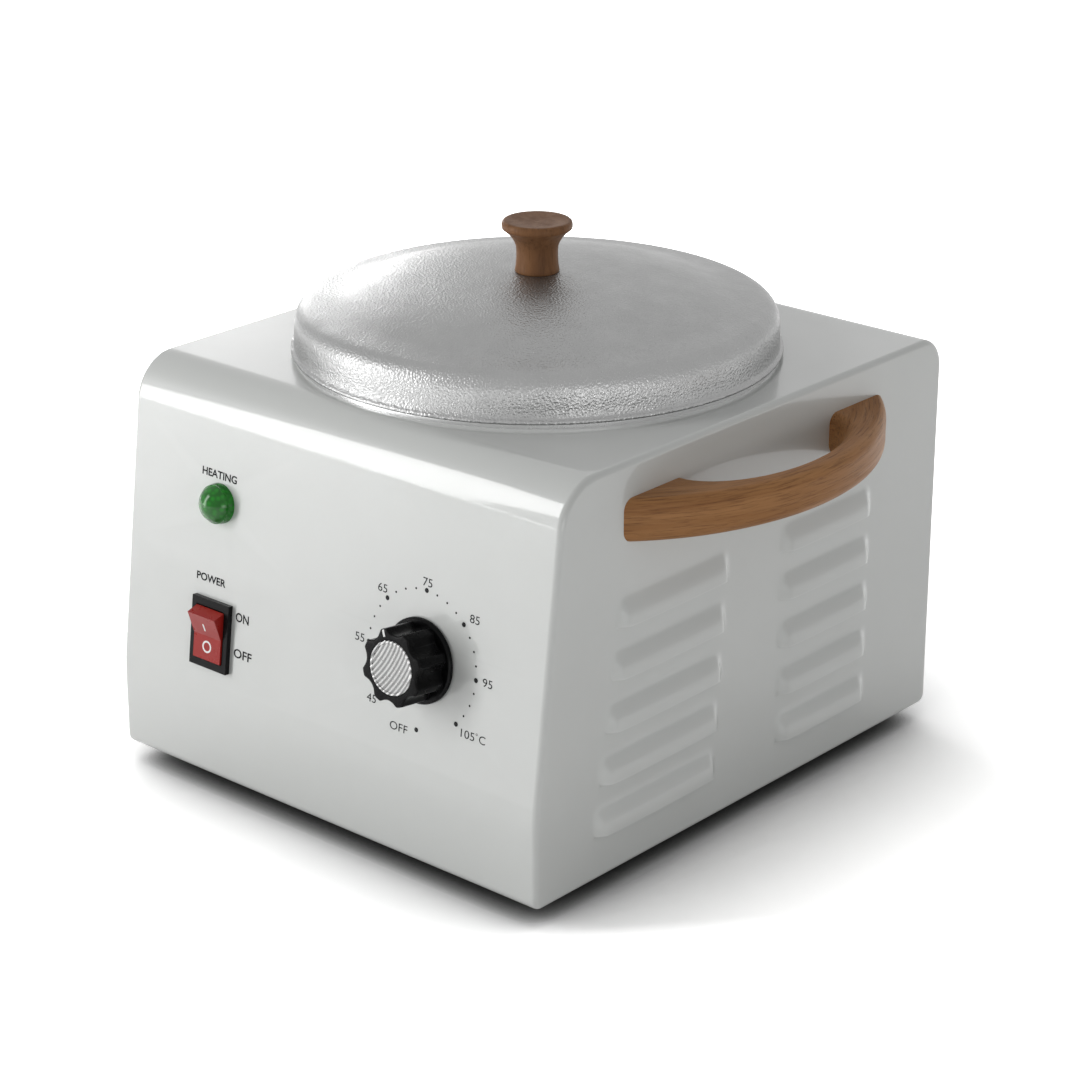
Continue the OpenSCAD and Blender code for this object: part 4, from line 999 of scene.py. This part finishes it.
finishes = {"pot": spun, "heating_well": spun, "well_screw_set": zinc, "base_plate": inner_coat,
            "base_screws": zinc, "feet": rubber, "foot_screws": zinc, "heater_band": band_steel,
            "heater_terminals": fired_clay, "insulation_sleeve": wool, "insulation_pad": wool,
            "lid_knob_screw": zinc, "handle_screws": zinc, "thermostat_shaft": brass,
            "thermostat_bush": brass, "bush_nut": brass, "thermostat_case": bare_steel,
            "thermostat_tags": brass, "sensing_bulb": copper, "bulb_clip": bare_steel,
            "switch_body": moulding, "switch_rocker": rocker_red, "switch_tags": brass,
            "indicator_barrel": white_block, "indicator_nut": zinc, "mains_inlet": moulding,
            "inlet_pins": zinc, "earth_stud": zinc, "thermal_cutout": fired_clay,
            "terminal_block": white_block, "wiring": sleeve}
for name, paint in finishes.items():
    paint_all(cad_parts[name], paint)


# Rocker marks: a white bar on the half that is pressed for on, a white ring on the half for off, both
# hot stamped into the red plastic.
bar_wide, bar_tall, bar_round = 0.00062, 0.0026, 0.0002
ring_radius, ring_wide = 0.00185, 0.00055
bar_x, bar_v = -0.0449, 0.0212
ring_x, ring_v = -0.0447, 0.0151
stamp_out = 0.00003
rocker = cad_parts["switch_rocker"]
halves = [f for f in rocker.data.polygons if f.normal.dot(front_normal) > 0.8]
rocker_middle = front_place(switch_x, switch_v).translation.z
lower_half = max((f for f in halves if f.center.z < rocker_middle), key=lambda f: f.area)
upper_half = max((f for f in halves if f.center.z > rocker_middle), key=lambda f: f.area)


def stamp(piece, half, x, v):
    """Lays a flat mark on one half of the rocker, a hair off its face."""
    up = half.normal.cross(Vector((1, 0, 0))).normalized()
    place = front_place(x, v).to_translation()
    along = front_normal * ((half.center - place).dot(half.normal) / front_normal.dot(half.normal))
    side = up.cross(half.normal).normalized()
    turn = Matrix((side, up, half.normal)).transposed().to_4x4()
    if turn.determinant() < 0:
        turn = Matrix((-side, up, half.normal)).transposed().to_4x4()
    piece.matrix_world = Matrix.Translation(place + along + half.normal * stamp_out) @ turn
    settle(piece)


bpy.ops.mesh.primitive_plane_add(size=1)
on_bar = bpy.context.object
start_editing(on_bar)
bpy.ops.mesh.select_all(action="SELECT")
bpy.ops.transform.resize(value=(bar_wide, bar_tall, 1))
bpy.ops.mesh.bevel(offset=bar_round, segments=3, affect="VERTICES")
stop_editing()
stamp(on_bar, upper_half, bar_x, bar_v)
bpy.ops.mesh.primitive_circle_add(vertices=48, radius=ring_radius, fill_type="NGON")
off_ring = bpy.context.object
start_editing(off_ring)
bpy.ops.mesh.select_all(action="SELECT")
bpy.ops.mesh.inset(thickness=ring_wide, depth=0)
bpy.ops.mesh.delete(type="FACE")
stop_editing()
stamp(off_ring, lower_half, ring_x, ring_v)
marks = join(on_bar, [off_ring])
marks.name = "rocker_marks"
paint_all(marks, white_line)
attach(marks, "rocker")


# Indicator lamp: a green moulded lens on a barrel that a nut holds behind the front, domed over small
# facets that scatter the glow.
lens_paint, lens_tree, lens_shader, lens_color, lens_bump = start_surface(
    "green_lens", (0.004, 0.155, 0.005),
    {"Specular IOR Level": 0.2, "Coat Weight": 0.2, "Coat Roughness": 0.03},
    {"Cloud": 0.2, "Scale": 500.0, "Grain Scale": 3000.0, "Smooth": 0.10, "Dull": 0.2,
     "Edge Lightening": 0.1, "Edge Color": (0.05, 0.4, 0.06, 1)}, 0.000005)
lens_place = add_node(lens_tree, "TexCoord", {}).outputs["Object"]
lens_cells = add_node(lens_tree, "TexVoronoi", {"Vector": lens_place, "Scale": 620.0,
                      "Randomness": 0.8}).outputs["Distance"]
fill_sockets(lens_tree, lens_shader, {
    "Base Color": mix_colors(lens_tree, carry_range(lens_tree, lens_cells, 0.1, 0.6, 0.0, 1.0),
                             (0.012, 0.27, 0.012, 1), lens_color),
    "Normal": add_bump(lens_tree, lens_cells, 0.3, 0.00015, lens_bump)})
paint_all(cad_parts["indicator_lens"], lens_paint)
